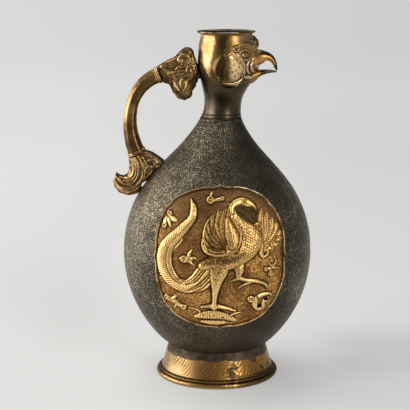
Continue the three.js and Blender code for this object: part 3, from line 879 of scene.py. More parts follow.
@dataclass
class Body:
    """Raised body: its skin with two turned lines under the neck seam, its lip and its lining."""

    surface: BodySurface = field(default_factory=BodySurface)
    wall: float = 2.0
    sides: int = 240
    turned: tuple[float, float] = (224.9, 222.6)
    inside: tuple[float, ...] = (1.85, 1.6, 1.35, 1.1, 0.8, 0.5, 0.25, 0.08, -0.1, -0.4, -0.8)

    def make(self, shop: Workshop) -> None:
        """Makes the body shell.

        Args:
            shop: the workshop.
        """
        angle = around(self.sides)
        along = np.r_[np.linspace(-0.97, 0, 14)[:-1], np.linspace(0, 1, 80) ** 1.3, np.linspace(1, 2, 98)[1:]]
        grid = np.meshgrid(angle, along)
        _, level = self.surface.profile(grid[1])
        dents = value_noise(grid[0] * 60, level, 34, 5) * 0.35
        dents = dents * smoothstep(level, 60, 110) * smoothstep(-level, -215, -170)
        line = sum(bell(level - at, 0.55) for at in self.turned)
        skin = self.surface.off(*grid, np.where(grid[1] < 0, 0, -np.abs(dents) - 0.28 * line))
        lip = self.surface.tube(angle, self.surface.seam_radius - self.wall, self.surface.seam_level)
        lining = self.surface.off(*np.meshgrid(angle, self.inside), -self.wall)
        rings = np.concatenate([skin, lip, lining])
        seam = among(np.clip(line, 0, 1), len(rings))
        shop.finish(shop.loft("chased_body", rings, {"seam": seam}), "chased bronze", "bronze_chased", "body_shell")


# Medallions. Their strokes lie in shares of the plate's half width and half height: across, up, half
# width of the stroke. A pinion gives its tip and its middle.

BIRD_TAIL: tuple[Path, ...] = (
    ((-0.419, 0.802, 0.008), (-0.383, 0.691, 0.045), (-0.407, 0.57, 0.051), (-0.51, 0.455, 0.067),
     (-0.63, 0.335, 0.08), (-0.75, 0.21, 0.093), (-0.813, 0.073, 0.108), (-0.818, -0.073, 0.112),
     (-0.774, -0.202, 0.112), (-0.678, -0.313, 0.104), (-0.55, -0.361, 0.099), (-0.431, -0.351, 0.112),
     (-0.319, -0.275, 0.128), (-0.231, -0.18, 0.136), (-0.159, -0.11, 0.12)),
)
TAIL_SLIVERS: tuple[Path, ...] = (
    ((-0.45, 0.466, 0.006), (-0.51, 0.373, 0.026), (-0.59, 0.283, 0.026), (-0.678, 0.147, 0.006)),
    ((-0.526, 0.344, 0.006), (-0.582, 0.241, 0.022), (-0.654, 0.164, 0.019), (-0.699, 0.087, 0.005)),
    ((-0.431, 0.609, 0.005), (-0.407, 0.516, 0.016), (-0.45, 0.459, 0.006)),
)
RUMP_FEATHERS: tuple[Path, ...] = (
    ((-0.17, -0.06, 0.012), (-0.26, -0.16, 0.026), (-0.36, -0.27, 0.026), (-0.5, -0.34, 0.008)),
    ((-0.11, -0.13, 0.012), (-0.2, -0.24, 0.028), (-0.31, -0.34, 0.028), (-0.47, -0.42, 0.008)),
    ((-0.08, -0.2, 0.01), (-0.14, -0.3, 0.024), (-0.24, -0.39, 0.024), (-0.37, -0.44, 0.008)),
    ((-0.23, -0.03, 0.01), (-0.32, -0.12, 0.024), (-0.42, -0.24, 0.022), (-0.55, -0.31, 0.006)),
)
BIRD_BODY: tuple[Path, ...] = (
    ((-0.255, -0.069, 0.064), (-0.128, -0.035, 0.096), (0.016, -0.034, 0.12), (0.175, 0.036, 0.147),
     (0.343, 0.145, 0.179), (0.455, 0.251, 0.159), (0.415, 0.365, 0.136), (0.311, 0.467, 0.096),
     (0.223, 0.565, 0.067), (0.172, 0.66, 0.048)),
)
BACK_SHADE: Path = ((-0.24, -0.02, 0.03), (-0.12, 0.01, 0.05), (0.04, 0.015, 0.055), (0.2, 0.04, 0.05),
                    (0.32, 0.09, 0.03))
BIRD_HEAD: tuple[Path, ...] = (
    ((0.319, 0.747, 0.022), (0.399, 0.723, 0.014), (0.447, 0.713, 0.005)),
    ((0.191, 0.751, 0.026), (0.144, 0.733, 0.014), (0.124, 0.759, 0.005)),
    ((0.172, 0.686, 0.019), (0.131, 0.68, 0.011), (0.105, 0.703, 0.005)),
    ((0.163, 0.647, 0.045), (0.172, 0.719, 0.043), (0.239, 0.769, 0.046), (0.319, 0.781, 0.048),
     (0.399, 0.768, 0.042), (0.463, 0.732, 0.026), (0.502, 0.694, 0.013), (0.517, 0.662, 0.005)),
)
STANDING_LEG: tuple[Path, ...] = (
    ((-0.271, -0.653, 0.013), (-0.175, -0.639, 0.026), (-0.088, -0.634, 0.035), (0.032, -0.653, 0.026),
     (0.159, -0.685, 0.019), (0.231, -0.71, 0.008)),
    ((-0.024, -0.123, 0.144), (-0.051, -0.259, 0.093), (-0.067, -0.398, 0.054), (-0.077, -0.508, 0.038),
     (-0.083, -0.589, 0.038), (-0.088, -0.645, 0.054)),
)
ROCK: tuple[Path, ...] = (
    ((-0.359, -0.805, 0.022), (-0.255, -0.783, 0.054), (-0.096, -0.769, 0.073), (0.064, -0.794, 0.054),
     (0.223, -0.857, 0.029)),
    ((-0.271, -0.876, 0.016), (-0.096, -0.896, 0.041), (0.064, -0.887, 0.029)),
    ((-0.447, -0.671, 0.008), (-0.319, -0.708, 0.014), (-0.268, -0.783, 0.013)),
    ((0.112, -0.82, 0.01), (0.191, -0.763, 0.016), (0.303, -0.739, 0.008)),
)
RAISED_LEG: tuple[Path, ...] = (
    ((0.279, -0.242, 0.022), (0.207, -0.262, 0.016), (0.14, -0.285, 0.005)),
    ((0.574, -0.302, 0.019), (0.478, -0.275, 0.013), (0.399, -0.257, 0.005)),
    ((0.478, -0.296, 0.019), (0.383, -0.325, 0.018), (0.303, -0.359, 0.014), (0.268, -0.385, 0.005)),
    ((0.263, -0.04, 0.088), (0.284, -0.13, 0.061), (0.274, -0.219, 0.038), (0.319, -0.252, 0.029),
     (0.447, -0.286, 0.024), (0.574, -0.314, 0.022), (0.67, -0.358, 0.021), (0.697, -0.411, 0.006)),
)
NEAR_PINIONS = (
    ((-0.217, 0.192), (-0.105, 0.125)), ((-0.23, 0.301), (-0.148, 0.188)),
    ((-0.216, 0.416), (-0.155, 0.265)), ((-0.18, 0.526), (-0.148, 0.349)),
    ((-0.112, 0.615), (-0.121, 0.419)), ((-0.024, 0.678), (-0.061, 0.46)),
    ((0.056, 0.688), (0.006, 0.474)), ((0.124, 0.711), (0.073, 0.501)),
)
WING_COVERT: tuple[Path, ...] = (
    ((0.22, 0.15, 0.06), (0.205, 0.23, 0.1), (0.175, 0.34, 0.105), (0.14, 0.45, 0.075), (0.105, 0.55, 0.04)),
)
WING_SHOULDER: tuple[Path, ...] = (
    ((-0.252, 0.304, 0.01), (-0.258, 0.213, 0.016), (-0.22, 0.136, 0.019), (-0.128, 0.093, 0.021),
     (-0.016, 0.079, 0.022), (0.096, 0.093, 0.022), (0.199, 0.137, 0.022), (0.271, 0.205, 0.021),
     (0.3, 0.302, 0.019), (0.295, 0.399, 0.014), (0.263, 0.483, 0.008)),
)
WING_FILL: tuple[Path, ...] = (
    ((-0.08, 0.19, 0.1), (-0.108, 0.3, 0.13), (-0.094, 0.43, 0.13), (-0.04, 0.54, 0.1), (0.02, 0.61, 0.06)),
    ((0.0, 0.19, 0.12), (0.03, 0.33, 0.13), (0.05, 0.47, 0.12), (0.075, 0.6, 0.07), (0.09, 0.67, 0.03)),
)
WING_EDGE: Path = (
    (0.13, 0.085, 0.012), (-0.02, 0.062, 0.014), (-0.158, 0.09, 0.014), (-0.222, 0.19, 0.014), (-0.241, 0.33, 0.013),
    (-0.222, 0.45, 0.012), (-0.178, 0.54, 0.01), (-0.13, 0.59, 0.005))
WING_SHADE: Path = ((-0.12, 0.24, 0.1), (-0.04, 0.34, 0.14), (0.05, 0.43, 0.12), (0.1, 0.5, 0.06))
FAR_PINIONS = (
    ((0.598, 0.673), (0.622, 0.432)), ((0.678, 0.615), (0.694, 0.411)), ((0.758, 0.54), (0.766, 0.389)),
    ((0.829, 0.457), (0.81, 0.343)), ((0.885, 0.361), (0.837, 0.27)), ((0.896, 0.269), (0.813, 0.209)),
    ((0.858, 0.189), (0.766, 0.158)), ((0.774, 0.136), (0.71, 0.136)),
)
FAR_SHOULDER: tuple[Path, ...] = (
    ((0.571, 0.34, 0.016), (0.606, 0.253, 0.019), (0.609, 0.168, 0.026), (0.598, 0.083, 0.032),
     (0.638, 0.018, 0.019)),
    ((0.654, 0.027, 0.016), (0.702, 0.072, 0.022), (0.689, 0.138, 0.016)),
)
CLOUDS: tuple[Path, ...] = (
    ((-0.14, 0.843, 0.016), (-0.128, 0.882, 0.013), (-0.105, 0.905, 0.005)),
    ((-0.096, 0.799, 0.019), (-0.032, 0.808, 0.019), (0.04, 0.824, 0.029)),
    ((-0.734, 0.623, 0.016), (-0.734, 0.563, 0.035), (-0.789, 0.503, 0.038), (-0.821, 0.444, 0.022)),
    ((-0.734, 0.563, 0.029), (-0.678, 0.535, 0.038), (-0.635, 0.519, 0.016)),
    ((-0.75, 0.527, 0.029), (-0.734, 0.461, 0.019), (-0.718, 0.429, 0.005)),
    ((-0.582, 0.019, 0.016), (-0.526, 0.01, 0.041), (-0.463, 0.0, 0.035), (-0.383, 0.042, 0.019),
     (-0.343, 0.022, 0.006)),
    ((-0.463, 0.015, 0.029), (-0.447, 0.095, 0.022), (-0.407, 0.153, 0.006)),
    ((-0.463, 0.0, 0.026), (-0.415, -0.041, 0.014), (-0.383, -0.068, 0.005)),
    ((0.801, 0.01, 0.006), (0.826, -0.052, 0.014), (0.801, -0.108, 0.022), (0.766, -0.141, 0.035),
     (0.742, -0.213, 0.032)),
    ((0.801, -0.108, 0.019), (0.742, -0.093, 0.014), (0.71, -0.045, 0.006)),
    ((0.766, -0.141, 0.026), (0.678, -0.146, 0.022)),
    ((0.781, -0.136, 0.022), (0.861, -0.151, 0.013), (0.88, -0.171, 0.005)),
    ((-0.794, -0.512, 0.013), (-0.785, -0.562, 0.032), (-0.718, -0.577, 0.038), (-0.654, -0.61, 0.038),
     (-0.59, -0.651, 0.035), (-0.53, -0.67, 0.029)),
    ((-0.702, -0.567, 0.026), (-0.654, -0.521, 0.016), (-0.67, -0.499, 0.006)),
    ((-0.638, -0.624, 0.022), (-0.662, -0.684, 0.013)),
    ((0.455, -0.55, 0.035), (0.526, -0.564, 0.041), (0.574, -0.529, 0.032), (0.654, -0.505, 0.026),
     (0.742, -0.505, 0.019), (0.758, -0.542, 0.006)),
    ((0.526, -0.564, 0.041), (0.518, -0.644, 0.045), (0.574, -0.707, 0.041), (0.638, -0.681, 0.032),
     (0.646, -0.609, 0.022), (0.694, -0.614, 0.016)),
)
CLOUD_RINGS = (
    (-0.14, 0.804, 0.048), (0.032, 0.824, 0.026), (-0.734, 0.603, 0.032), (-0.813, 0.439, 0.029),
    (-0.526, 0.017, 0.048), (0.742, -0.213, 0.035), (0.67, -0.145, 0.026), (-0.789, -0.546, 0.029),
    (-0.534, -0.67, 0.035), (0.455, -0.55, 0.045),
)
HOLES = (
    (0.683, -0.573, 0.032), (0.582, -0.667, 0.04), (-0.239, -0.774, 0.014), (-0.16, -0.785, 0.01),
    (-0.088, -0.782, 0.014), (0.04, -0.807, 0.019),
)


@dataclass
class Medallion:
    """Lobed plate with a striding bird in relief, laid on the front or the back of the body."""

    surface: BodySurface = field(default_factory=BodySurface)
    half_width: float = 54.7
    half_height: float = 59.8
    shift: float = 1.7
    level: float = 119.486
    seat: float = 0.3
    plate: float = 1.0
    cells: int = 288
    highest: float = 2.95
    near_root: tuple[float, float] = (0.06, 0.12)
    far_root: tuple[float, float] = (0.638, 0.11)
    near_pinion: float = 0.05
    far_pinion: float = 0.058
    eye: Spot = (0.338, 0.765, 0.034)
    shoulder_curl: Spot = (0.542, 0.439, 0.062)
    # middle of the painted shadow on the ground under the bird's head, in shares of the plate
    shadow_middle: tuple[float, float] = (0.385, 0.565)
    lobes: Path = ((0, 1), (0.1, 0.975), (0.35, 1), (0.7, 1.032), (0.88, 1.047), (1, 1.036))
    back_rings: tuple[float, ...] = (1.0, 0.85, 0.66, 0.45, 0.22)

    def reach(self, turn: Array) -> Array:
        """Radius of the lobed outline over that of the oval."""
        eighth = (turn / (math.pi / 4)) % 2
        return smooth_through(self.lobes)(np.where(eighth > 1, 2 - eighth, eighth))

    def rows(self, path: Path) -> Array:
        """Finer rows of a path on the plate."""
        return smooth_path(path, self.half_width, self.half_height)

    def ring(self, sheet: Sheet, u: float, v: float, radius: float, rise: float) -> None:
        """Lays a ring given in shares of the plate."""
        sheet.ring(u * self.half_width, v * self.half_height, radius * self.half_width, rise)

    def strokes(self, sheet: Sheet, paths: Sequence[Path], rise: float, cut: Cut = Cut.DOME,
                detail: Callable[[Brush], Array] | None = None, edge: float = 0.25, dark: float = 0.0) -> None:
        """Lays a group of strokes as one form; wide ones stand higher than narrow ones.

        Args:
            sheet: where they are laid.
            paths: the strokes.
            rise: greatest height.
            cut: their section.
            detail: height added within a stroke.
            edge: depth of the line round the form.
            dark: how much painted shade lies on their flanks.
        """
        own, tint, out = np.zeros(sheet.x.shape), np.zeros(sheet.x.shape), np.full(sheet.x.shape, FAR)
        for path in paths:
            rows = self.rows(path)
            brush = Brush.over(sheet.x, sheet.y, rows)
            within = brush.near < 1
            high = brush.height(cut, rise * min(1.0, 0.55 + 0.06 * rows[:, 2].max()))
            own = np.maximum(own, high + detail(brush) * within if detail else high)
            out = np.minimum(out, brush.out)
            # painted shade on the flanks, kept off the middle rib
            tint = np.maximum(tint, dark * (1 - 0.85 * bell(brush.side, 0.17)) * within)
        sheet.lay(own, out, edge, tint)

    def wing(self, sheet: Sheet, pinions: Sequence[Path], root: tuple[float, float], half: float, rise: float,
             dark: float) -> None:
        """Lays the pinions of a wing one over the other.

        Args:
            sheet: where they are laid.
            pinions: tip and middle of each.
            root: where they meet.
            half: half width of a pinion.
            rise: its height.
            dark: how much painted shade lies on its flanks.
        """
        for (tip_x, tip_y), (x, y) in pinions:
            path = [(root[0], root[1], half * 0.35), ((root[0] + x) / 2, (root[1] + y) / 2, half * 0.7),
                    (x, y, half), (x * 0.45 + tip_x * 0.55 + (x - root[0]) * 0.06, y * 0.45 + tip_y * 0.55,
                                   half * 0.95), (tip_x, tip_y, half * 0.2)]
            self.strokes(sheet, [path], rise, Cut.RIB, lambda b: 0.14 * np.sin(
                (b.along + np.abs(b.side) * 1.6) * FULL / 1.8), 0.22, dark)

    def scales(self, x: Array, y: Array, size: float) -> Array:
        """Rows of small overlapping scales.

        Args:
            x: places across.
            y: places up.
            size: width of a scale.

        Returns:
            Their height.
        """
        row = y / (size * 0.75)
        column = x / size + 0.5 * (np.floor(row) % 2)
        u, v = column - np.floor(column) - 0.5, row - np.floor(row) - 0.3
        worn = 0.6 + 0.6 * value_noise(x, y, 2.2, 61)
        return 0.48 * worn * (0.5 - smoothstep(np.hypot(u * 1.05, v * 0.8), 0.25, 0.5))

    @staticmethod
    def barbed(b: Brush) -> Array:
        """Barbs across the tail, with a rib along its inner third."""
        hatch = np.sin((b.along - b.side * 3.2) * FULL / 1.9)
        return 0.24 * hatch * (b.side < 0.3) - 0.45 * bell(b.side - 0.38, 0.07) + 0.14 * hatch * (b.side > 0.45)

    def relief(self, x: Array, y: Array) -> Sheet:
        """Lays the clouds, the rock and the bird, the hindmost form first, with painted shade on the bird's back and
        wings.

        Args:
            x: places across the plate.
            y: places up the plate.

        Returns:
            The sheet with its relief.
        """
        sheet = Sheet(x, y)
        lay = partial(self.strokes, sheet)
        for path in CLOUDS:
            lay([path], 1.5, edge=0.2)
        for u, v, r in CLOUD_RINGS:
            self.ring(sheet, u, v, r * 1.1, 1.5)
        lay(TAIL_SLIVERS, 1.3, Cut.RIB)
        lay(BIRD_TAIL, 2.2, detail=self.barbed)
        self.wing(sheet, FAR_PINIONS, self.far_root, self.far_pinion, 1.5, 0.5)
        lay(FAR_SHOULDER, 1.7, detail=lambda b: self.scales(x, y, 2.1))
        self.ring(sheet, *self.shoulder_curl, 1.9)
        lay(RAISED_LEG, 1.9)
        lay(ROCK, 1.5, detail=lambda b: 0.18 * np.sin(x * FULL / 1.9))
        for path in RUMP_FEATHERS:
            lay([path], 2.5, Cut.RIB)
        grain = 0.16 * value_noise(x, y, 1.1, 41)
        lay(BIRD_BODY + STANDING_LEG, 2.75, detail=lambda b: np.where(
            b.along > 26, self.scales(x + y * 0.5, y - x * 0.5, 2.6), 1.6 * grain))
        # painted shade along the top of the bird's back, under the wing
        sheet.darken(self.rows(BACK_SHADE) * (1, 1, 1.7), 0.75)
        lay(BIRD_HEAD, 2.4)
        self.ring(sheet, *self.eye, 2.4)
        lay(WING_FILL, 1.7, Cut.SOFT, edge=0.22)
        # painted shade under the near wing's pinions
        for path in WING_FILL:
            sheet.darken(self.rows(path), 0.8)
        self.wing(sheet, NEAR_PINIONS[::-1], self.near_root, self.near_pinion, 1.25, 0.95)
        # painted shade over the near wing's pinions
        for path in WING_FILL:
            sheet.darken(self.rows(path), 0.42)
        lay([WING_EDGE], 2.2, edge=0.15)
        lay(WING_COVERT, 2.3, Cut.SOFT, lambda b: self.scales(x - y * 0.4, y + x * 0.4, 2.2))
        # painted shade in the middle of the near wing
        sheet.darken(self.rows(WING_SHADE), 0.3)
        lay(WING_SHOULDER, 2.9, edge=0.4)
        sheet.height = sheet.height + (0.3 * grain + 0.12 * value_noise(x, y, 2.7, 43)) * sheet.figure
        return sheet

    def front(self, x: Array, y: Array, turn: Array, inward: Array) -> tuple[Array, Marks]:
        """Front of the plate with its relief, its holes, its thin raised frame and a painted shadow on the ground
        under the bird's head.

        Args:
            x: places across the plate.
            y: places up the plate.
            turn: their angles about its middle.
            inward: their distances from its outline.

        Returns:
            Heights, and the marks that the finish reads.
        """
        sheet = self.relief(x, y)
        figure = sheet.figure * smoothstep(inward, 1.6, 2.6)
        height = sheet.height * smoothstep(inward, 1.6, 3.2)
        height += 0.1 * value_noise(x, y, 6.5, 11) * (1 - figure) - 0.06
        hole = np.zeros_like(height)
        for u, v, r in HOLES:
            far = np.hypot(x - u * self.half_width, y - v * self.half_height)
            hole = np.maximum(hole, 1 - smoothstep(far, r * self.half_width * 0.75, r * self.half_width))
        height = height * (1 - hole) - 0.85 * hole
        # painted shadow: a dark round patch on the ground under the bird's head, put into the hollow mark
        far = np.hypot(x / self.half_width - self.shadow_middle[0], y / self.half_height - self.shadow_middle[1])
        shade = 1 - smoothstep(far + 0.03 * value_noise(x, y, 4.0, 73), 0.15, 0.23)
        wobble = 0.25 * value_noise(turn * 30, 0, 7, 3)
        frame = bell(inward - 0.75 - wobble, 0.62)
        height = np.maximum(height, 0.9 * frame) - 0.16 * bell(inward - 2.3 - wobble, 0.7)
        hollow = hollows(height, 2 * self.half_width / self.cells) + 0.38 * shade * (1 - figure)
        return height, {"figure": figure, "hollow": hollow, "hole": hole, "frame": frame, "tint": sheet.tint}

    def make(self, shop: Workshop, side: Side) -> None:
        """Makes the plate.

        Args:
            shop: the workshop.
            side: the face of the body that it lies on.
        """
        a, b = np.meshgrid(*[np.linspace(-1, 1, self.cells + 1)] * 2)
        u, v = a * np.sqrt(1 - b * b / 2), b * np.sqrt(1 - a * a / 2)
        turn = np.arctan2(v, u) % FULL
        lobe = self.reach(turn) - 0.006 - 0.006 * value_noise(turn * 30, 0, 9, 5)
        x, y = u * lobe * self.half_width, v * lobe * self.half_height
        inward = (1 - np.hypot(u, v)) * np.hypot(self.half_width * np.cos(turn), self.half_height * np.sin(turn))
        height, grids = self.front(x, y, turn, inward)
        lift = self.seat + self.plate + np.minimum(height, self.highest)
        front = self.surface.over(self.shift + x, self.level + y, lift, side)
        index = np.arange(x.size).reshape(x.shape)
        rim = np.r_[index[0, :-1], index[:-1, -1], index[-1, :0:-1], index[:0:-1, 0]]
        back = [self.surface.over(self.shift + x.flat[rim] * k, self.level + y.flat[rim] * k, self.seat, side)
                for k in self.back_rings]
        places = np.concatenate([front.reshape(-1, 3), *back, back[-1].mean(0)[None]])
        steps = x.size + np.arange(len(back) * len(rim)).reshape(len(back), -1)
        faces = [np.stack([index[:-1, :-1], index[:-1, 1:], index[1:, 1:], index[1:, :-1]], -1).reshape(-1, 4)]
        for low, high in zip([rim, *steps], steps):
            faces.append(np.stack([np.roll(low, -1), low, high, np.roll(high, -1)], -1))
        last = steps[-1]
        faces.append(np.stack([np.roll(last, -1), last, np.full(len(rim), len(places) - 1)], -1))
        marks = {key: np.r_[grid.ravel(), np.full(len(places) - x.size, 0.6 if key == "hollow" else 0.0)]
                 for key, grid in grids.items()}
        name = side.name.lower()
        shop.finish(shop.mesh(f"{name}_bird_plate", places, faces, marks), "gilt relief", "gilt", f"{name}_medallion")


@dataclass
class Rivets:
    """Domed rivets in the tips of both medallions."""

    plate: Medallion = field(default_factory=Medallion)
    radius: float = 1.7
    inset: float = 2.7
    lift: float = 1.9

    def make(self, shop: Workshop) -> None:
        """Sets the eight rivets with a node tree.

        Args:
            shop: the workshop.
        """
        studs, names = [], []
        for side in Side:
            for i, way in enumerate(("east", "north", "west", "south")):
                turn = i * math.pi / 2
                x = np.array(self.plate.shift + (self.plate.half_width - self.inset) * math.cos(turn))
                z = np.array(self.plate.level + (self.plate.half_height - self.inset) * math.sin(turn))
                seat, foot = (self.plate.surface.over(x, z, lift, side) for lift in (self.lift, 0.0))
                studs.append((seat, seat - foot, 1.0))
                names.append(f"{side.name.lower()}_pin_{way}")
        piece = StudTree("domed rivets", False, self.radius * MM, 0.62).scatter(shop, "medallion_rivets", studs)
        shop.finish(piece, "dark bronze", "bronze_smooth", *names)


# Neck and head. Their strokes lie in millimetres: across, up, half width.

HEAD_LINES: tuple[tuple[float, Cut, Path], ...] = (
    (1.3, Cut.DOME, ((5.8, 281.8, 0.6), (2.1, 279.2, 1.4), (-0.8, 275.5, 2.1), (-2.3, 271.4, 2.4),
                     (-2.4, 267.4, 2.1), (-1.1, 263.6, 1.2), (1.2, 260.8, 0.6))),
    (1.3, Cut.DOME, ((0.6, 260.2, 0.6), (3.6, 257.9, 1.5), (7.6, 256.4, 2.0), (12.8, 256.3, 2.1),
                     (16.9, 258.2, 1.7), (19.6, 261.1, 1.0), (20.2, 264.5, 0.5))),
    (0.6, Cut.RIDGE, ((17.6, 282.3, 0.4), (19.6, 284.3, 0.8), (22.5, 285.3, 0.9), (25.6, 284.2, 0.7),
                      (27.2, 282.3, 0.3))),
    (0.6, Cut.RIDGE, ((17.9, 281.2, 0.4), (19.6, 278.3, 0.9), (23.1, 276.9, 1.0), (26.6, 278.6, 0.7),
                      (27.7, 280.1, 0.3))),
    (0.45, Cut.RIDGE, ((17.2, 288.9, 0.5), (20.4, 289.9, 0.9), (24.2, 289.9, 0.9), (27.8, 288.0, 0.5))),
    (0.25, Cut.RIDGE, ((11.8, 284.1, 0.4), (8.7, 282.1, 0.5), (5.2, 279.5, 0.5), (2.6, 276.9, 0.3))),
    (0.2, Cut.RIDGE, ((13.3, 282.9, 0.3), (10.1, 280.6, 0.5), (6.4, 278.0, 0.5), (4.1, 275.5, 0.3))),
    (0.4, Cut.DOME, ((19.1, 277.8, 0.7), (21.1, 274.9, 1.1), (22.6, 271.4, 1.1), (22.0, 267.4, 1.2),
                     (21.2, 263.9, 0.8))),
    (0.9, Cut.DOME, ((25.7, 276.0, 0.5), (24.6, 272.6, 1.0), (24.3, 268.8, 1.2), (25.8, 265.4, 0.9))),
    (0.9, Cut.DOME, ((28.9, 274.9, 0.5), (27.8, 271.4, 1.0), (28.4, 268.0, 1.1), (30.1, 265.7, 0.6))),
    (0.7, Cut.DOME, ((31.8, 273.2, 0.4), (31.5, 270.3, 0.9), (32.4, 267.4, 0.5))),
    (1.2, Cut.DOME, ((22.6, 262.4, 1.2), (24.6, 262.6, 1.8), (27.0, 262.0, 1.7), (29.8, 261.9, 0.9))),
    (0.6, Cut.RIDGE, ((28.7, 295.0, 0.6), (31.3, 293.2, 1.2), (32.6, 290.9, 1.2), (32.2, 288.3, 0.6))),
    (0.5, Cut.RIDGE, ((27.2, 292.6, 0.5), (29.6, 291.3, 1.0), (30.4, 289.5, 1.0), (30.2, 287.0, 0.5))),
)
HEAD_GROOVES: tuple[tuple[float, Path], ...] = (
    (0.7, ((16.8, 286.9, 0.5), (20.2, 287.9, 0.7), (24.2, 287.9, 0.7), (27.6, 286.2, 0.4))),
    (0.5, ((16.4, 283.5, 0.3), (17.0, 280.1, 0.5), (17.9, 276.6, 0.5), (19.4, 273.8, 0.3))),
    (0.4, ((9.4, 281.6, 0.3), (6.0, 279.4, 0.5), (3.2, 276.4, 0.5), (1.6, 273.0, 0.5), (1.2, 269.0, 0.5),
           (2.2, 264.8, 0.3))),
    (0.4, ((19.8, 273.5, 0.3), (20.3, 269.5, 0.5), (19.6, 265.5, 0.5), (17.6, 262.0, 0.3))),
    (0.35, ((33.5, 280.4, 0.3), (30.2, 280.0, 0.5), (28.4, 277.6, 0.3))),
)
CHEEK_DOTS = (
    (14.4, 281.4), (11.5, 281.9), (15.6, 277.6), (13.0, 274.0), (17.1, 271.4), (11.9, 267.7), (16.3, 266.5),
    (9.3, 275.2), (12.6, 277.4), (14.5, 269.2), (9.8, 271.4), (8.6, 278.6), (7.0, 273.6), (8.2, 267.6),
    (13.8, 264.4), (17.8, 274.6), (6.0, 269.8),
)


@dataclass
class BirdHead:
    """Neck and bird's head: cheeks, welts, eyes, brows, wattles, and the throat inside."""

    surface: HeadSurface = field(default_factory=HeadSurface)
    body: BodySurface = field(default_factory=BodySurface)
    wall: float = 1.8
    spigot: float = 15.1
    spigot_wall: float = 1.5
    spigot_level: float = 221.0
    shoulder_level: float = 227.3
    eye: tuple[float, float] = (22.2, 281.1)
    ear: tuple[float, float] = (15.0, 286.2)
    beak_level: float = 0.62
    sides: int = 420
    bands: int = 190
    notches: int = 7

    def relief(self, x: Array, z: Array, facing: Array) -> Array:
        """Chasing over the sides of the head.

        Args:
            x: places across.
            z: levels.
            facing: how far each place faces sideways, where the chasing fades.

        Returns:
            Its height.
        """
        sheet = Sheet(x, z)
        for rise, cut, path in HEAD_LINES:
            sheet.stroke(smooth_path(path, 1, 1), cut, rise, 0.22)
        for depth, path in HEAD_GROOVES:
            sheet.height -= Brush.over(x, z, smooth_path(path, 1, 1)).height(Cut.SOFT, depth)
        eye_x, eye_z = x - self.eye[0], z - self.eye[1]
        ball = 1.15 * np.sqrt(np.clip(1 - np.hypot(eye_x / 3.0, eye_z / 2.1) ** 2, 0, 1))
        pupil = 0.55 * bell(np.hypot(eye_x - 0.2, eye_z), 0.55)
        sheet.height = np.maximum(sheet.height, ball - pupil)
        sheet.ring(*self.ear, 2.7, 1.25)
        return sheet.height * smoothstep(facing, 0.12, 0.4)

    def make(self, shop: Workshop) -> None:
        """Makes the shell of the neck and head.

        Args:
            shop: the workshop.
        """
        angle = around(self.sides)
        turn, level = np.meshgrid(angle, np.linspace(0.004, 1, self.bands))
        skin = self.surface.point(turn, level)
        x, z = skin[..., 0], skin[..., 2]
        lift = self.relief(x, z, np.abs(np.sin(turn)))
        aside = np.abs((turn + math.pi) % FULL - math.pi)
        bridge = bell(aside, 0.42) * bell(level - self.beak_level, 0.13)
        hammer = 0.16 * value_noise(turn * 22, level * 70, 8, 21)
        seam = bell(level * self.surface.height - 1.3, 0.42) + bell(level * self.surface.height - 3.8, 0.4)
        swell = lift + 2.4 * bridge + hammer * smoothstep(level, 0.3, 0.5) - 0.3 * seam
        skin = skin + np.stack([np.cos(turn), np.sin(turn), 0 * turn], -1) * swell[..., None]
        throat = self.surface.point(*np.meshgrid(angle, np.linspace(1, 0.1, 24)), -self.wall)
        sleeve = [self.body.tube(angle, radius, height) for radius, height in (
            (self.spigot, self.spigot_level), (self.spigot, self.shoulder_level),
            (self.body.seam_radius, self.shoulder_level), (self.spigot - self.spigot_wall, self.spigot_level))]
        rings = np.concatenate([*sleeve[:3], skin, throat, sleeve[3]])
        wrapped = np.pad(lift, ((0, 0), (8, 8)), mode="wrap")
        hollow = hollows(wrapped, self.surface.height / self.bands)[:, 8:-8] - 0.5
        # painted shade on the cheek's left and a painted highlight on its right half, put into the hollow mark
        hollow += 0.12 * np.exp(-(((x - 6.5) / 3) ** 2) - ((z - 270) / 7) ** 2)
        hollow -= 0.24 * np.exp(-(((x - 14.5) / 4.5) ** 2) - ((z - 270) / 8) ** 2)
        inside = np.ones((len(rings) - 3 - self.bands, self.sides))
        marks = {"hollow": 0.5 + among(hollow, len(rings), 3), "seam": among(seam, len(rings), 3),
                 "inside": among(inside, len(rings), 3 + self.bands)}
        shop.finish(shop.loft("bird_head", rings, marks, joined=True), "head gilding", "gilt", "neck_head_shell")

    def make_punches(self, shop: Workshop) -> None:
        """Sets the punched rings of the cheeks and the notches over the lower welts.

        Args:
            shop: the workshop.
        """
        marks = [(x, z, 0.05, 0.8) for x, z in CHEEK_DOTS]
        marks += [(4.2 + i * 2.0, 260.6 - 0.9 * math.sin(math.pi * i / (self.notches - 1)), 0.1, 0.75)
                  for i in range(self.notches)]
        studs = []
        for side in Side:
            for x, z, lift, size in marks:
                spot = self.surface.over(x, z, lift, side)
                studs.append((spot, spot - self.surface.over(x, z, -1.0, side), size))
        piece = StudTree("punched marks", True, MM, 0.5).scatter(shop, "cheek_punches", studs)
        shop.finish(piece, "dark bronze", "gilt_dark")


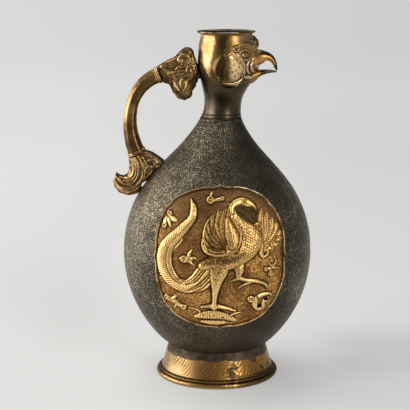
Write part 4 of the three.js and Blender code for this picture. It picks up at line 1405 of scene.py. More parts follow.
@dataclass(frozen=True)
class StudTree:
    """Geometry Nodes tree that sets a dome or a ring on each point, facing along its `way`."""

    name: str
    ring: bool
    radius: float
    flatness: float

    def stud(self, net: Net, radius: Value) -> bpy.types.Node:
        """Nodes of one dome or ring.

        Args:
            net: the tree's net.
            radius: the stud's radius.

        Returns:
            The node that puts it out.
        """
        if not self.ring:
            return net.node("GeometryNodeMeshUVSphere", Segments=20, Rings=12, Radius=radius)
        circle = net.node("GeometryNodeCurvePrimitiveCircle", Resolution=12, Radius=radius)
        section = net.node("GeometryNodeCurvePrimitiveCircle", Resolution=6, Radius=radius * 0.32)
        return net.node("GeometryNodeCurveToMesh", circle, section)

    def build(self) -> bpy.types.NodeTree:
        """Makes the tree with its named inputs.

        Returns:
            The new tree.
        """
        net = Net(bpy.data.node_groups.new(self.name, "GeometryNodeTree"))
        net.sockets("INPUT", Geometry="Geometry", Radius=self.radius, Flatness=self.flatness, Finish="Material")
        net.sockets("OUTPUT", Geometry="Geometry")
        entry = net.node("NodeGroupInput").outputs
        way = net.node("GeometryNodeInputNamedAttribute", data_type="FLOAT_VECTOR", Name="way")
        size = net.node("GeometryNodeInputNamedAttribute", data_type="FLOAT", Name="size")
        squash = net.node("ShaderNodeCombineXYZ", 1, 1, entry["Flatness"])
        stud = net.node("GeometryNodeTransform", Geometry=self.stud(net, Value(net, entry["Radius"])), Scale=squash)
        placed = net.node(
            "GeometryNodeInstanceOnPoints", Points=net.node("GeometryNodeMeshToPoints", Mesh=entry["Geometry"]),
            Instance=stud, Rotation=net.node("FunctionNodeAlignRotationToVector", axis="Z", Vector=way), Scale=size)
        smooth = net.node("GeometryNodeSetShadeSmooth", net.node("GeometryNodeRealizeInstances", placed))
        dressed = net.node("GeometryNodeSetMaterial", Geometry=smooth, Material=entry["Finish"])
        net.node("NodeGroupOutput", dressed)
        return net.tree

    def scatter(self, shop: Workshop, name: str, studs: Sequence[tuple[Array, Array, float]]) -> bpy.types.Object:
        """Sets the studs and turns them into a plain mesh.

        Args:
            shop: the workshop.
            name: the piece's name.
            studs: place in millimetres, outward direction and scale of each stud.

        Returns:
            The plain piece.
        """
        spots, ways, sizes = (np.array(part, float) for part in zip(*studs))
        seeds = shop.mesh(name + "_seeds", spots, [], {"size": sizes})
        set_mark(seeds.data, "way", ways, "FLOAT_VECTOR")
        modifier = seeds.modifiers.new("studs", "NODES")
        modifier.node_group = self.build()
        values = {"Radius": self.radius, "Flatness": self.flatness, "Finish": shop.finishes["dark bronze"]}
        for item in modifier.node_group.interface.items_tree:
            if item.name in values:
                modifier[item.identifier] = values[item.name]
        mesh = applied(seeds)
        mesh.name = name
        bpy.data.objects.remove(seeds)
        return added(name, mesh)


@dataclass
class MouthRim:
    """Flared lip of the mouth, a little thicker towards the beak."""

    surface: HeadSurface = field(default_factory=HeadSurface)
    overhang: float = 2.9
    height: float = 3.0
    wave: float = 0.12
    wall: float = 1.8
    sides: int = 220
    section: Path = ((0, 0), (0.18, 0.1), (0.5, 0.85), (0.66, 1), (0.8, 0.86), (1, 0))
    rise: Path = ((0, 0.1), (0.18, 0.16), (0.5, 0.5), (0.66, 0.76), (0.8, 0.97), (1, 0.84))

    def make(self, shop: Workshop) -> None:
        """Makes the lip as one ring.

        Args:
            shop: the workshop.
        """
        out, level = (smooth_through(knots)(np.linspace(0, 1, 22)) for knots in (self.section, self.rise))
        out = np.r_[out * self.overhang, -self.wall * 0.5, -self.wall, -self.wall][:, None]
        up = np.r_[level * self.height, 0.72 * self.height, 0.55 * self.height, 0.3][:, None]
        angle = around(self.sides)
        bump = 0.22 * value_noise(angle * 9, up, 4, 8) * (up > 0.5)
        rise = (up - self.height) * self.wave * (1 - np.cos(angle)) * (up > 0.4)
        wide, deep, middle = (self.surface.column(which)(1.0) for which in (1, 2, 3))
        base = self.surface.base + self.surface.height
        rings = np.stack([middle + (wide + out) * np.cos(angle), (deep + out) * np.sin(angle),
                          np.minimum(base + up + rise + bump - 0.2 * (up > 2), base + self.height)], -1)
        lip = np.r_[level, 1, 1, 1][:, None] + 0 * angle
        shop.finish(shop.loft("mouth_lip", rings, {"lip": lip}, joined=True), "lip bronze", "bronze_smooth",
                    "mouth_rim")


def swept(centre: Array, across: Array, depth: Array) -> Array:
    """Sections of a bar along a curve in the plane of the beak and the handle.

    Args:
        centre: rows of [x, z].
        across: each row's places across the curve.
        depth: each row's places along y.

    Returns:
        Rings of places.
    """
    way = np.gradient(centre, axis=0)
    way = way / np.linalg.norm(way, axis=1, keepdims=True)
    return np.stack([centre[:, :1] - way[:, 1:] * across, depth, centre[:, 1:] + way[:, :1] * across], -1)


@dataclass
class Beak:
    """Hooked beak in two halves, and the crest knob over it.

    Their sections lie in shares of the beak's length: forward, up, half height, half width.
    """

    surface: HeadSurface = field(default_factory=HeadSurface)
    length: float = 18.7
    level: float = 0.643
    rows: int = 60
    sides: int = 48
    upper: Path = ((-0.5, 0.22, 0.43, 0.7), (-0.16, 0.27, 0.41, 0.6), (0.187, 0.33, 0.325, 0.36),
                   (0.43, 0.345, 0.21, 0.26), (0.64, 0.26, 0.15, 0.19), (0.79, 0.06, 0.105, 0.14),
                   (0.866, -0.15, 0.07, 0.09), (0.9, -0.28, 0.035, 0.04))
    lower: Path = ((-0.55, -0.6, 0.34, 0.5), (-0.267, -0.54, 0.32, 0.4), (0.134, -0.396, 0.155, 0.246),
                   (0.43, -0.34, 0.1, 0.18), (0.72, -0.325, 0.062, 0.118), (0.9, -0.345, 0.028, 0.05))
    crest: Path = ((-0.28, 1.27, 0.05, 0.1), (-0.25, 1.21, 0.11, 0.18), (-0.165, 1.09, 0.15, 0.245),
                   (-0.09, 0.93, 0.165, 0.27), (-0.07, 0.77, 0.13, 0.225), (-0.07, 0.69, 0.05, 0.1))

    def half(self, shop: Workshop, name: str, table: Path, node: str, finish: str = "beak bronze",
             slot: str = "bronze_smooth", lobes: int = 0) -> None:
        """Makes one half of the beak, or the lobed crest.

        Args:
            shop: the workshop.
            name: the piece's name.
            table: its sections.
            node: the solid that it stands for.
            finish: name of its finish.
            slot: its material slot.
            lobes: how many lobes it swells into.
        """
        run, forward, up, high, wide = finer(np.array(table) * self.length, self.rows).T
        swell = 1 + 0.16 * np.abs(np.sin(math.pi * lobes * run / run[-1]))
        top = np.cos(around(self.sides))
        across = np.sin(around(self.sides)) * (1 - 0.22 * np.clip(top, 0, 1) ** 2)
        root = (float(self.surface.column(3)(self.level) + self.surface.column(1)(self.level)),
                self.surface.base + self.level * self.surface.height)
        rings = swept(np.stack([forward, up], -1) + root, (high * swell)[:, None] * top,
                      (wide * swell)[:, None] * across)
        share = (run / run[-1])[:, None] + 0 * top
        marks = {"top": top + 0 * share, "run": share, "hollow": 0.48 + 0.22 * np.cos(FULL * lobes * share)}
        shop.finish(shop.loft(name, rings, marks), finish, slot, node)

    def make(self, shop: Workshop) -> None:
        """Makes both halves and the crest.

        Args:
            shop: the workshop.
        """
        self.half(shop, "beak_upper", self.upper, "upper_beak")
        self.half(shop, "beak_lower", self.lower, "lower_beak")
        self.half(shop, "crest_knob", self.crest, "head_crest", "handle gilding", "gilt_dark", 3)


# Ends of the handle. Their strokes lie in shares of an end's size from its anchor: across, up, half
# width. Knobs and dots give their radius last.

CLOUD_MASS: tuple[Path, ...] = (
    ((-0.258, 0.316, 0.124), (-0.219, 0.416, 0.112)),
    ((-0.637, 0.142, 0.1), (-0.482, 0.142, 0.132), (-0.327, 0.133, 0.185), (-0.172, 0.162, 0.144)),
    ((-0.133, 0.239, 0.08), (-0.084, 0.104, 0.092), (-0.104, -0.012, 0.072)),
    ((-0.522, -0.012, 0.08), (-0.328, -0.032, 0.124), (-0.172, -0.012, 0.124)),
    ((-0.357, -0.148, 0.144), (-0.348, -0.285, 0.152), (-0.31, -0.421, 0.112)),
)
CLOUD_LINES: tuple[Path, ...] = (
    ((-0.599, -0.012, 0.01), (-0.522, 0.003, 0.018), (-0.366, 0.042, 0.018), (-0.23, 0.04, 0.012)),
    ((-0.483, -0.051, 0.01), (-0.405, -0.041, 0.018), (-0.289, -0.014, 0.02), (-0.133, -0.022, 0.012)),
    ((-0.454, -0.094, 0.01), (-0.376, -0.074, 0.016), (-0.25, -0.055, 0.018), (-0.124, -0.055, 0.01)),
    ((-0.394, 0.239, 0.016), (-0.374, 0.306, 0.02), (-0.297, 0.345, 0.024), (-0.206, 0.32, 0.024),
     (-0.156, 0.249, 0.018), (-0.191, 0.191, 0.01)),
    ((-0.23, 0.036, 0.012), (-0.214, 0.108, 0.02), (-0.162, 0.162, 0.024), (-0.09, 0.127, 0.024),
     (-0.085, 0.055, 0.02), (-0.133, 0.03, 0.016), (-0.156, 0.075, 0.01)),
    ((-0.444, 0.065, 0.01), (-0.385, 0.119, 0.018), (-0.288, 0.119, 0.02), (-0.234, 0.171, 0.012)),
    ((-0.327, 0.171, 0.01), (-0.259, 0.21, 0.018), (-0.21, 0.258, 0.012)),
    ((-0.328, -0.106, 0.016), (-0.345, -0.2, 0.024), (-0.34, -0.29, 0.012)),
    ((-0.47, -0.16, 0.012), (-0.45, -0.25, 0.03), (-0.385, -0.33, 0.012)),
    ((-0.221, -0.139, 0.012), (-0.235, -0.25, 0.024), (-0.285, -0.34, 0.01)),
    ((-0.123, 0.355, 0.012), (-0.109, 0.258, 0.018), (-0.075, 0.181, 0.012)),
)
CLOUD_DOTS = ((-0.346, 0.229, 0.036),)
CLOUD_KNOBS = (
    (-0.222, 0.35, 0.135), (-0.112, 0.108, 0.108), (-0.125, -0.125, 0.115), (-0.235, -0.395, 0.115),
    (-0.335, -0.4, 0.12), (-0.46, -0.2, 0.115), (-0.326, 0.21, 0.14),
)
LEAF_MASS: tuple[Path, ...] = (
    ((-0.276, 0.527, 0.159), (-0.203, 0.328, 0.194), (-0.206, 0.085, 0.216), (-0.35, -0.093, 0.177),
     (-0.548, -0.138, 0.124), (-0.687, -0.004, 0.057), (-0.718, 0.096, 0.018)),
    ((-0.125, 0.505, 0.137), (0.07, 0.383, 0.159), (0.221, 0.317, 0.106)),
)
LEAF_LINES: tuple[Path, ...] = (
    ((-0.386, 0.461, 0.013), (-0.323, 0.262, 0.026), (-0.337, 0.107, 0.031), (-0.436, 0.018, 0.026),
     (-0.567, 0.029, 0.02), (-0.671, 0.073, 0.009)),
    ((-0.31, 0.472, 0.013), (-0.225, 0.262, 0.026), (-0.235, 0.062, 0.031), (-0.346, -0.082, 0.029),
     (-0.514, -0.104, 0.024), (-0.644, -0.031, 0.011)),
    ((-0.216, 0.483, 0.013), (-0.127, 0.273, 0.026), (-0.13, 0.051, 0.031), (-0.237, -0.12, 0.029),
     (-0.406, -0.205, 0.024), (-0.581, -0.182, 0.011)),
    ((-0.347, 0.461, 0.009), (-0.276, 0.262, 0.018), (-0.287, 0.085, 0.02), (-0.393, -0.031, 0.02),
     (-0.542, -0.038, 0.013)),
    ((-0.125, 0.461, 0.011), (-0.051, 0.306, 0.022), (-0.053, 0.151, 0.022), (-0.109, 0.018, 0.013)),
    ((-0.745, 0.073, 0.022), (-0.736, -0.071, 0.035), (-0.636, -0.216, 0.04), (-0.473, -0.287, 0.038),
     (-0.298, -0.249, 0.029), (-0.176, -0.138, 0.013)),
    ((-0.086, 0.062, 0.013), (-0.059, 0.207, 0.026), (0.025, 0.273, 0.029), (0.078, 0.184, 0.026),
     (-0.021, 0.062, 0.018), (-0.12, -0.027, 0.009)),
    ((-0.102, 0.593, 0.011), (0.049, 0.527, 0.02), (0.179, 0.439, 0.02), (0.276, 0.35, 0.011)),
)
LEAF_DOTS = ((0.145, 0.339, 0.038), (0.184, 0.266, 0.028), (0.005, 0.399, 0.024), (0.081, 0.428, 0.02))
LEAF_KNOBS = ((0.2, 0.324, 0.1), (0.048, 0.435, 0.12), (-0.685, -0.082, 0.092))


@dataclass(frozen=True)
class CastEnd:
    """One cast end of the handle: where it sits, how large it is and what is chased on it."""

    node: str
    piece: str
    size: float
    anchor: tuple[float, float]
    first: tuple[float, float]
    last: tuple[float, float]
    mass: tuple[Path, ...]
    lines: tuple[Path, ...]
    dots: Path
    knobs: Path

    def place(self, share: Sequence[float]) -> Array:
        """Millimetres of a place of shares."""
        return np.array(self.anchor) + np.array(share[:2]) * self.size

    def rows(self, path: Path) -> Array:
        """Finer rows of a path, in millimetres."""
        return smooth_path(path, self.size, self.size) + (*self.anchor, 0)

    def collar(self) -> tuple[Array, Array, float]:
        """Finds where the bar joins on.

        Returns:
            Middle of the collar, the way that the bar leaves it, and its half thickness.
        """
        first, last = self.place(self.first), self.place(self.last)
        across = (first - last) / np.linalg.norm(first - last)
        centre, away = (first + last) / 2, np.array([-across[1], across[0]])
        inward = np.mean([self.place(row) for path in self.mass for row in path], axis=0)
        return centre, away * -np.sign(np.dot(away, inward - centre)), float(np.linalg.norm(first - last) / 2)


@dataclass
class Handle:
    """Cast handle: cloud-shaped head, bowed grip between two collars, and a curled leaf."""

    half_thickness: float = 5.4
    half_depth: float = 6.5
    bow: float = 0.375
    collar_length: float = 3.0
    bead: float = 0.7
    seat: float = 0.3
    knob_depth: float = 7.0
    voxel: float = 0.38
    head_share: float = 0.543
    body_share: float = 0.737
    corners: Path = ((1, 0.45), (0.5, 1), (-0.5, 1), (-1, 0.45), (-1, -0.45), (-0.5, -1), (0.5, -1), (1, -0.45))
    beads: Path = ((0, 0), (0.1, 0.75), (0.25, 1), (0.42, 0.7), (0.5, 0), (0.58, 0.7), (0.75, 1), (0.9, 0.75), (1, 0))

    def ends(self) -> tuple[CastEnd, CastEnd]:
        """Places both ends by the skin of the head and of the body.

        Returns:
            The upper and the lower end.
        """
        head, body = HeadSurface(), BodySurface()
        back = float(head.column(3)(self.head_share) - head.column(1)(self.head_share))
        level = body.foot_height + self.body_share * body.height
        left = float(body.lean(level) - body.profile(body.along_at(np.array(level)))[0])
        upper = CastEnd("handle_head", "handle_cloud_head", 44.0, (back, head.base + self.head_share * head.height),
                        (-0.8, 0.114), (-0.68, -0.186), CLOUD_MASS, CLOUD_LINES, CLOUD_DOTS, CLOUD_KNOBS)
        lower = CastEnd("handle_leaf", "handle_curled_leaf", 40.0, (left, level),
                        (-0.43, 0.44), (-0.06, 0.59), LEAF_MASS, LEAF_LINES, LEAF_DOTS, LEAF_KNOBS)
        return upper, lower

    def rounded(self, shop: Workshop, end: CastEnd) -> bpy.types.Object:
        """Rounded copy of a cast end's solid, with its knobs.

        Args:
            shop: the workshop.
            end: the cast end.

        Returns:
            The new piece.
        """
        piece = added(end.piece, bpy.data.objects[end.node].data.copy())
        shape = bmesh.new()
        shape.from_mesh(piece.data)
        for u, v, r in end.knobs:
            x, z = end.place((u, v)) * MM
            radius = r * end.size * MM
            ball = Matrix.Translation((x + shop.axis, 0, z)) @ Matrix.Diagonal(
                (radius, self.knob_depth * MM, radius, 1))
            bmesh.ops.create_uvsphere(shape, u_segments=24, v_segments=16, radius=1.0, matrix=ball)
        shape.to_mesh(piece.data)
        shape.free()
        piece.modifiers.new("weld", "WELD").merge_threshold = 1e-5
        even = piece.modifiers.new("even", "REMESH")
        even.mode, even.voxel_size = "VOXEL", self.voxel * MM
        soft = piece.modifiers.new("soft", "SMOOTH")
        soft.factor, soft.iterations = 0.5, 16
        mesh = applied(piece)
        piece.modifiers.clear()
        piece.data = mesh
        return piece

    def make_end(self, shop: Workshop, end: CastEnd) -> None:
        """Makes a cast end with the chasing raised on both faces.

        Args:
            shop: the workshop.
            end: the cast end.
        """
        piece = self.rounded(shop, end)
        mesh = piece.data
        spots, facing = np.zeros((2, len(mesh.vertices) * 3))
        mesh.vertices.foreach_get("co", spots)
        mesh.vertices.foreach_get("normal", facing)
        spots, turned = spots.reshape(-1, 3), np.abs(facing[1::3])
        x, z = spots[:, 0] / MM - shop.axis / MM, spots[:, 2] / MM
        raised, lines = np.zeros(len(x)), Sheet(x, z)
        for path in end.mass:
            raised = np.maximum(raised, Brush.over(x, z, end.rows(path)).height(Cut.DOME))
        for path in end.lines:
            lines.stroke(end.rows(path) * (1, 1, 0.85), Cut.DOME, 1.0, 0.35)
        for u, v, r in end.dots:
            lines.ring(*end.place((u, v)), r * end.size, 0.9)
        depth = np.abs(spots[:, 1]) / MM
        weight = smoothstep(depth, 2.0, 5.5)
        fuller = depth * 0.78 + 1.5 * raised + lines.height * smoothstep(turned, 0.25, 0.7)
        spots[:, 1] = np.sign(spots[:, 1]) * (depth * (1 - weight) + fuller * weight) * MM
        mesh.vertices.foreach_set("co", spots.ravel())
        rubbed = 0.14 * value_noise(x, z, 2.2, 71) + 0.1 * value_noise(x, z, 0.9, 72)
        hollow = np.clip(0.68 - 0.5 * lines.height - 0.16 * raised - rubbed, 0, 1)
        hollow = hollow * weight + 0.55 * (1 - weight) + 0.3 * (1 - smoothstep(turned, 0.15, 0.55))
        set_mark(mesh, "hollow", hollow)
        mesh.shade_smooth()
        mesh.update()
        shop.finish(piece, "handle gilding", "gilt", end.node)

    def bar(self, centre: Array, half: Array, depth: Array | float, soft: float) -> Array:
        """Eight-sided sections with eased corners along a bar.

        Args:
            centre: rows of [x, z].
            half: half thickness at each row.
            depth: half depth at each row.
            soft: how far the corners are eased.

        Returns:
            Rings of places.
        """
        steps = np.linspace(0, 1, 7)[:-1, None]
        corners = np.array(self.corners)
        ring = np.concatenate([a + (b - a) * steps for a, b in zip(corners, np.roll(corners, -1, 0))])
        eased = (np.roll(ring, 1, 0) + ring + np.roll(ring, -1, 0)) / 3
        ring = ring + (eased - ring) * soft * 2
        return swept(centre, ring[:, 0] * half[:, None], ring[:, 1] * (depth + 0 * half)[:, None])

    def make_collar(self, shop: Workshop, end: CastEnd, name: str) -> None:
        """Makes the two beads of a collar.

        Args:
            shop: the workshop.
            end: the cast end that it joins.
            name: upper or lower.
        """
        centre, away, half = end.collar()
        along = np.linspace(0, 1, 25)
        bead = smooth_through(self.beads)(along)
        middle = centre + away * (self.seat + along * self.collar_length)[:, None]
        rings = self.bar(middle, half - self.bead * (1 - bead), self.half_depth + self.bead * bead, 0.35)
        marks = {"hollow": np.repeat((0.9 - 0.7 * bead)[:, None], rings.shape[1], 1)}
        shop.finish(shop.loft(f"handle_{name}_beads", rings, marks), "handle gilding", "gilt",
                    f"handle_{name}_collar")

    def make(self, shop: Workshop) -> None:
        """Makes the two ends, the collars and the grip.

        Args:
            shop: the workshop.
        """
        upper, lower = self.ends()
        for end in (upper, lower):
            self.make_end(shop, end)
        for end, name in ((upper, "upper"), (lower, "lower")):
            self.make_collar(shop, end, name)
        (start, leave, thick_a), (finish, arrive, thick_b) = upper.collar(), lower.collar()
        reach = 2 * self.seat + self.collar_length
        start, finish = start + leave * reach, finish + arrive * reach
        bow = self.bow * np.linalg.norm(start - finish)
        p = np.array([start, start + leave * bow, finish + arrive * bow, finish])
        t = np.linspace(0, 1, 110)[:, None]
        centre = (1 - t) ** 3 * p[0] + 3 * t * (1 - t) ** 2 * p[1] + 3 * t * t * (1 - t) * p[2] + t ** 3 * p[3]
        thickness = smooth_through([
            (0, thick_a - self.bead), (0.25, 1.06 * self.half_thickness), (0.45, self.half_thickness),
            (0.75, 1.1 * self.half_thickness), (1, thick_b - self.bead)])(t[:, 0])
        thickness = thickness - 0.2 * np.abs(value_noise(t[:, 0] * 100, 0, 12, 75))
        rings = self.bar(centre, thickness, self.half_depth, 0.3)
        share = np.linspace(0, 1, rings.shape[1], endpoint=False)
        edge = np.abs(((share * 8 + 0.5) % 1) - 0.5) * 2
        wear = 0.47 + 0.15 * smoothstep(edge, 0.1, 0.5)[None] + 0.08 * np.sin(t * 9)
        shop.finish(shop.loft("handle_bow", rings, {"hollow": wear}), "handle gilding", "gilt", "handle_grip")


@dataclass
class Foot:
    """Flared hollow foot with chased petals, its top band left dark, on a thick rim."""

    height: float = 29.0
    radius: float = 53.5
    rim_height: float = 4.2
    rim_width: float = 6.6
    cone_radius: float = 50.9
    top_radius: float = 42.5
    wall: float = 2.3
    bead: float = 2.3
    groove: float = 1.5
    depth: float = 0.9
    seat: float = 0.3
    petals: int = 88
    sides: int = 480
    rim_section: Path = ((0, -0.3), (0.25, 0), (0.6, 0), (0.85, -0.16), (1, -0.34))
    rim_rise: Path = ((0, 0), (0.25, 0.3), (0.6, 0.65), (0.85, 0.93), (1, 1))

    def ring(self, half: Array, level: Array, swell: Array | float = 0.0) -> Array:
        """Rings of the oval foot.

        Args:
            half: half width of each ring.
            level: level of each ring.
            swell: what is added at each place.

        Returns:
            The rings.
        """
        angle = around(self.sides)
        half = half[:, None] + swell + 0 * angle
        return np.stack([half * np.cos(angle), self.depth * half * np.sin(angle), level[:, None] + 0 * half], -1)

    def make_rim(self, shop: Workshop) -> None:
        """Makes the rim.

        Args:
            shop: the workshop.
        """
        out, up = (smooth_through(knots)(np.linspace(0, 1, 18)) for knots in (self.rim_section, self.rim_rise))
        half = np.r_[self.radius + out * self.rim_height, [self.radius - self.rim_width] * 2]
        level = np.r_[up * self.rim_height, self.rim_height, 0]
        knock = 0.22 * value_noise(around(self.sides) * 50, 0, 6, 31)[None] * (level[:, None] > 0.5)
        rings = self.ring(half, level, -np.abs(knock))
        piece = shop.loft("foot_rim_ring", rings, {"hollow": np.full(rings.shape[:2], 0.4)}, joined=True)
        shop.finish(piece, "foot gilding", "gilt_dark", "foot_rim")

    def make(self, shop: Workshop) -> None:
        """Makes the rim and the petalled cone.

        Args:
            shop: the workshop.
        """
        self.make_rim(shop)
        base, foot = self.rim_height + self.seat, self.cone_radius - self.groove
        start = base + self.bead
        rise, angle = np.linspace(0, 1, 74), around(self.sides)
        cone = foot + (self.top_radius - self.cone_radius + self.groove) * rise ** 0.75
        level = start + (self.height - start) * rise
        bead_half = np.array([foot - self.wall, self.cone_radius - 0.4, self.cone_radius, self.cone_radius,
                              self.cone_radius - 0.5])
        bead_level = np.array([base, base, base + 0.5, start - 1.0, start - 0.4])
        up = rise[:, None]
        wander = 0.4 * value_noise(angle * 11, up * 2.5, 1.0, 17)
        saw = ((angle - 0.34 * up) * self.petals / FULL + wander) % 1
        depth = 0.4 + 0.8 * value_noise(angle * 7, up * 1.4 + 3, 1.0, 19)
        line = bell(saw - 0.5, 0.12) * np.clip(depth, 0, 1)
        within = smoothstep(up, 0.04, 0.12) * (1 - smoothstep(up, 0.68, 0.76))
        relief = (0.12 * np.sin(np.pi * saw) - 0.34 * line) * within
        inner_half = np.r_[self.top_radius - 0.6, self.top_radius - self.wall - 0.6, (cone - self.wall)[::-6],
                           foot - self.wall]
        inner_level = np.r_[self.height - 0.2, self.height - 0.4, np.minimum(level, 26.5)[::-6], base + 1.0]
        rings = np.concatenate([self.ring(bead_half, bead_level),
                                self.ring(cone, level, np.minimum(relief, 0.3) - 0.12),
                                self.ring(inner_half, inner_level)])
        first, last = len(bead_half), len(bead_half) + len(rise)
        hollow = np.full(rings.shape[:2], 0.45)
        hollow[first:last] = np.clip(0.35 + 0.5 * line, 0, 1) * within + 0.45 * (1 - within)
        hollow[first - 1:first + 2] = 0.95
        inside = among(np.ones((len(rings) - last, self.sides)), len(rings), last)
        piece = shop.loft("foot_petals", rings, {"hollow": hollow, "inside": inside}, joined=True)
        shop.finish(piece, "foot gilding", "gilt", "foot_ring")


# Finishes


class EffectGroups:
    """Shared shader node groups, each built once."""

    def __init__(self) -> None:
        """Builds the groups."""
        self.scrolls = self.build_scrolls()
        self.matting = self.build_matting()
        self.patina = self.build_patina()
        self.wear = self.build_wear()

    def build_scrolls(self) -> bpy.types.NodeTree:
        """Builds the chased scrolls: spirals in cells of the surface, as thin lines.

        Returns:
            The group.
        """
        net, given = Net.group("chased scrolls", Place="Vector", Normal="Vector", Cell=0.0052, Spacing=0.0015)
        bend = net.node("ShaderNodeTexNoise", Vector=given["Place"], Scale=160).outputs["Color"]
        shift = net.vector("SCALE", net.vector("SUBTRACT", bend, (0.5, 0.5, 0.5)), Scale=0.0035)
        place = net.vector("ADD", given["Place"], shift)
        cells = net.node("ShaderNodeTexVoronoi", feature="F1", Vector=place, Scale=1.0 / given["Cell"]).outputs
        away = net.vector("SUBTRACT", place, cells["Position"])
        side = net.vector("NORMALIZE", net.vector("CROSS_PRODUCT", (0, 0, 1), given["Normal"]))
        up = net.vector("CROSS_PRODUCT", given["Normal"], side)
        a, b = (net.vector("DOT_PRODUCT", away, way) for way in (side, up))
        far = net.math("SQRT", a * a + b * b)
        turn = net.math("ARCTAN2", b, a) / FULL
        hand = net.node("ShaderNodeSeparateColor", cells["Color"]).outputs[0]
        sign = net.math("GREATER_THAN", hand, 0.5) * 2.0 - 1.0
        wave = abs(net.math("FRACT", far / given["Spacing"] + turn * sign) - 0.5)
        return net.give(Line=wave.span(0.24, 0.4))

    def build_matting(self) -> bpy.types.NodeTree:
        """Builds the ring-punched ground: small rings side by side.

        Returns:
            The group.
        """
        net, given = Net.group("ring matting", Place="Vector", Size=0.0017)
        cells = net.node("ShaderNodeTexVoronoi", feature="F1", Vector=given["Place"], Scale=1.0 / given["Size"],
                         Randomness=0.55)
        return net.give(Height=abs(Value(net, cells.outputs["Distance"]) - 0.3).span(0.02, 0.16))

    def build_patina(self) -> bpy.types.NodeTree:
        """Builds the cloudy patina: broad, middle and fine patches.

        Returns:
            The group.
        """
        net, given = Net.group("patina clouds", Place="Vector")
        return net.give(Broad=net.noise(given["Place"], 22, 3, 0.55), Middle=net.noise(given["Place"], 95, 4, 0.6),
                        Fine=net.noise(given["Place"], 620, 3, 0.6))

    def build_wear(self) -> bpy.types.NodeTree:
        """Builds the rubbed gilding: bright on high places, dark in the hollows.

        Returns:
            The group.
        """
        net, given = Net.group("rubbed gilding", Place="Vector", Hollow=0.5, Deep=(0.05, 0.028, 0.012),
                               Middle=(0.42, 0.22, 0.05), Bright=(0.8, 0.5, 0.16))
        clouds = net.use(self.patina, Place=given["Place"])
        level = given["Hollow"] + clouds["Middle"] * 0.5 + clouds["Fine"] * 0.25 - 0.375
        dark = level.span(0.52, 0.82)
        colour = net.mix(level.span(0.62, 0.34), given["Middle"], given["Bright"])
        return net.give(Color=net.mix(dark, colour, given["Deep"]), Roughness=dark * 0.3 + 0.3)


class Metal(Paint):
    """Material of the ewer, with its patina clouds."""

    def __init__(self, name: str, effects: EffectGroups, **inputs: object) -> None:
        """Starts the material.

        Args:
            name: its name.
            effects: the shared groups.
            inputs: its shader's inputs.
        """
        super().__init__(name, **inputs)
        self.effects = effects
        clouds = self.use(effects.patina, Place=self.place)
        self.broad, self.middle, self.fine = (clouds[label] for label in ("Broad", "Middle", "Fine"))

    def uneven(self, reach: float) -> Value:
        """Shift of an edge by the middle clouds, over a reach."""
        return (self.middle - 0.5) * reach

    def clouded(self, dark: Spot, light: Spot) -> Value:
        """Colour between a dark and a light one, in patches."""
        return self.mix(self.middle.span(0.35, 0.7), dark, light)

    def gilded(self, hollow: Value, **colours: Spot) -> dict[str, Value]:
        """Rubbed gilding over how deep each place lies, in its three colours."""
        return self.use(self.effects.wear, Place=self.place, Hollow=hollow, **colours)

    def away(self, middle: Spot, scale: Spot) -> Value:
        """Distance from a place on the ewer, scaled along each axis."""
        return self.vector("LENGTH", self.vector("MULTIPLY", self.vector("SUBTRACT", self.place, middle), scale))

    def bump(self, height: Value, deep: float, strength: float) -> None:
        """Puts a height on the shader, `deep` in millimetres."""
        self.dress(Normal=self.node("ShaderNodeBump", Height=height, Distance=deep * MM, Strength=strength))


@dataclass(frozen=True)
class Finish:
    """One finish of the ewer; by itself it is plain dark bronze."""

    name: str
    metal: float = 1.0
    rough: float = 0.38

    def make(self, effects: EffectGroups) -> bpy.types.Material:
        """Makes the material.

        Args:
            effects: the shared groups.

        Returns:
            The new material.
        """
        metal = Metal(self.name, effects, Metallic=self.metal, Roughness=self.rough)
        self.paint(metal)
        return metal.material

    def paint(self, on: Metal) -> None:
        """Paints cloudy dark bronze.

        Args:
            on: the material.
        """
        on.dress(Base_Color=on.clouded((0.05, 0.038, 0.024), (0.16, 0.12, 0.075)),
                 Roughness=on.fine.span(0.3, 0.7, 0.32, 0.5))
        on.bump(on.fine, 0.12, 0.5)


@dataclass(frozen=True)
class ChasedBronze(Finish):
    """Olive-grey patina over fine chased scrolls, silvery where it is rubbed and with a painted sheen on the flanks.
    """

    def paint(self, on: Metal) -> None:
        """Paints the ground, then the rubbed lines, brightened on the flanks as a painted sheen and dimmed round the
        front middle and low down as painted shade.

        Args:
            on: the material.
        """
        line = on.use(on.effects.scrolls, Place=on.place, Normal=on.normal)["Line"] * (1.0 - on.mark("seam"))
        # painted sheen: the lines stay bright on the flanks and are dimmed round the middle of the front
        flank_sheen = on.x.span(0.024, -0.012, 0.22, 1.0) | on.x.span(0.046, 0.068, 0.22, 0.9)
        rub_and_sheen = (on.broad + on.uneven(0.7)).span(0.32, 0.72, 0.3, 0.9)
        rub_and_sheen = rub_and_sheen * on.noise(on.place, 430, 2, 0.5).span(0.42, 0.58, 0.35, 1.15) * flank_sheen
        # the lines are also dimmed low down as painted shade
        bright = line * rub_and_sheen * on.z.span(0.025, 0.095, 0.32, 1.0)
        ground = on.mix(on.broad.span(0.35, 0.65), (0.024, 0.018, 0.011), (0.05, 0.039, 0.025))
        ground = on.mix(on.noise(on.place, 34, 2, 0.5).span(0.58, 0.78, 0.0, 0.55), ground, (0.085, 0.04, 0.022))
        ground = on.mix(on.z.span(0.075, 0.035) * 0.7, ground, (0.062, 0.042, 0.025))
        on.dress(Base_Color=on.mix(bright, ground, (0.76, 0.64, 0.43)), Roughness=bright.span(0, 1, 0.46, 0.36))
        on.bump(line * flank_sheen.span(0.2, 0.8, 0.5, 1.0) + on.fine * 0.6, 0.4, 0.9)


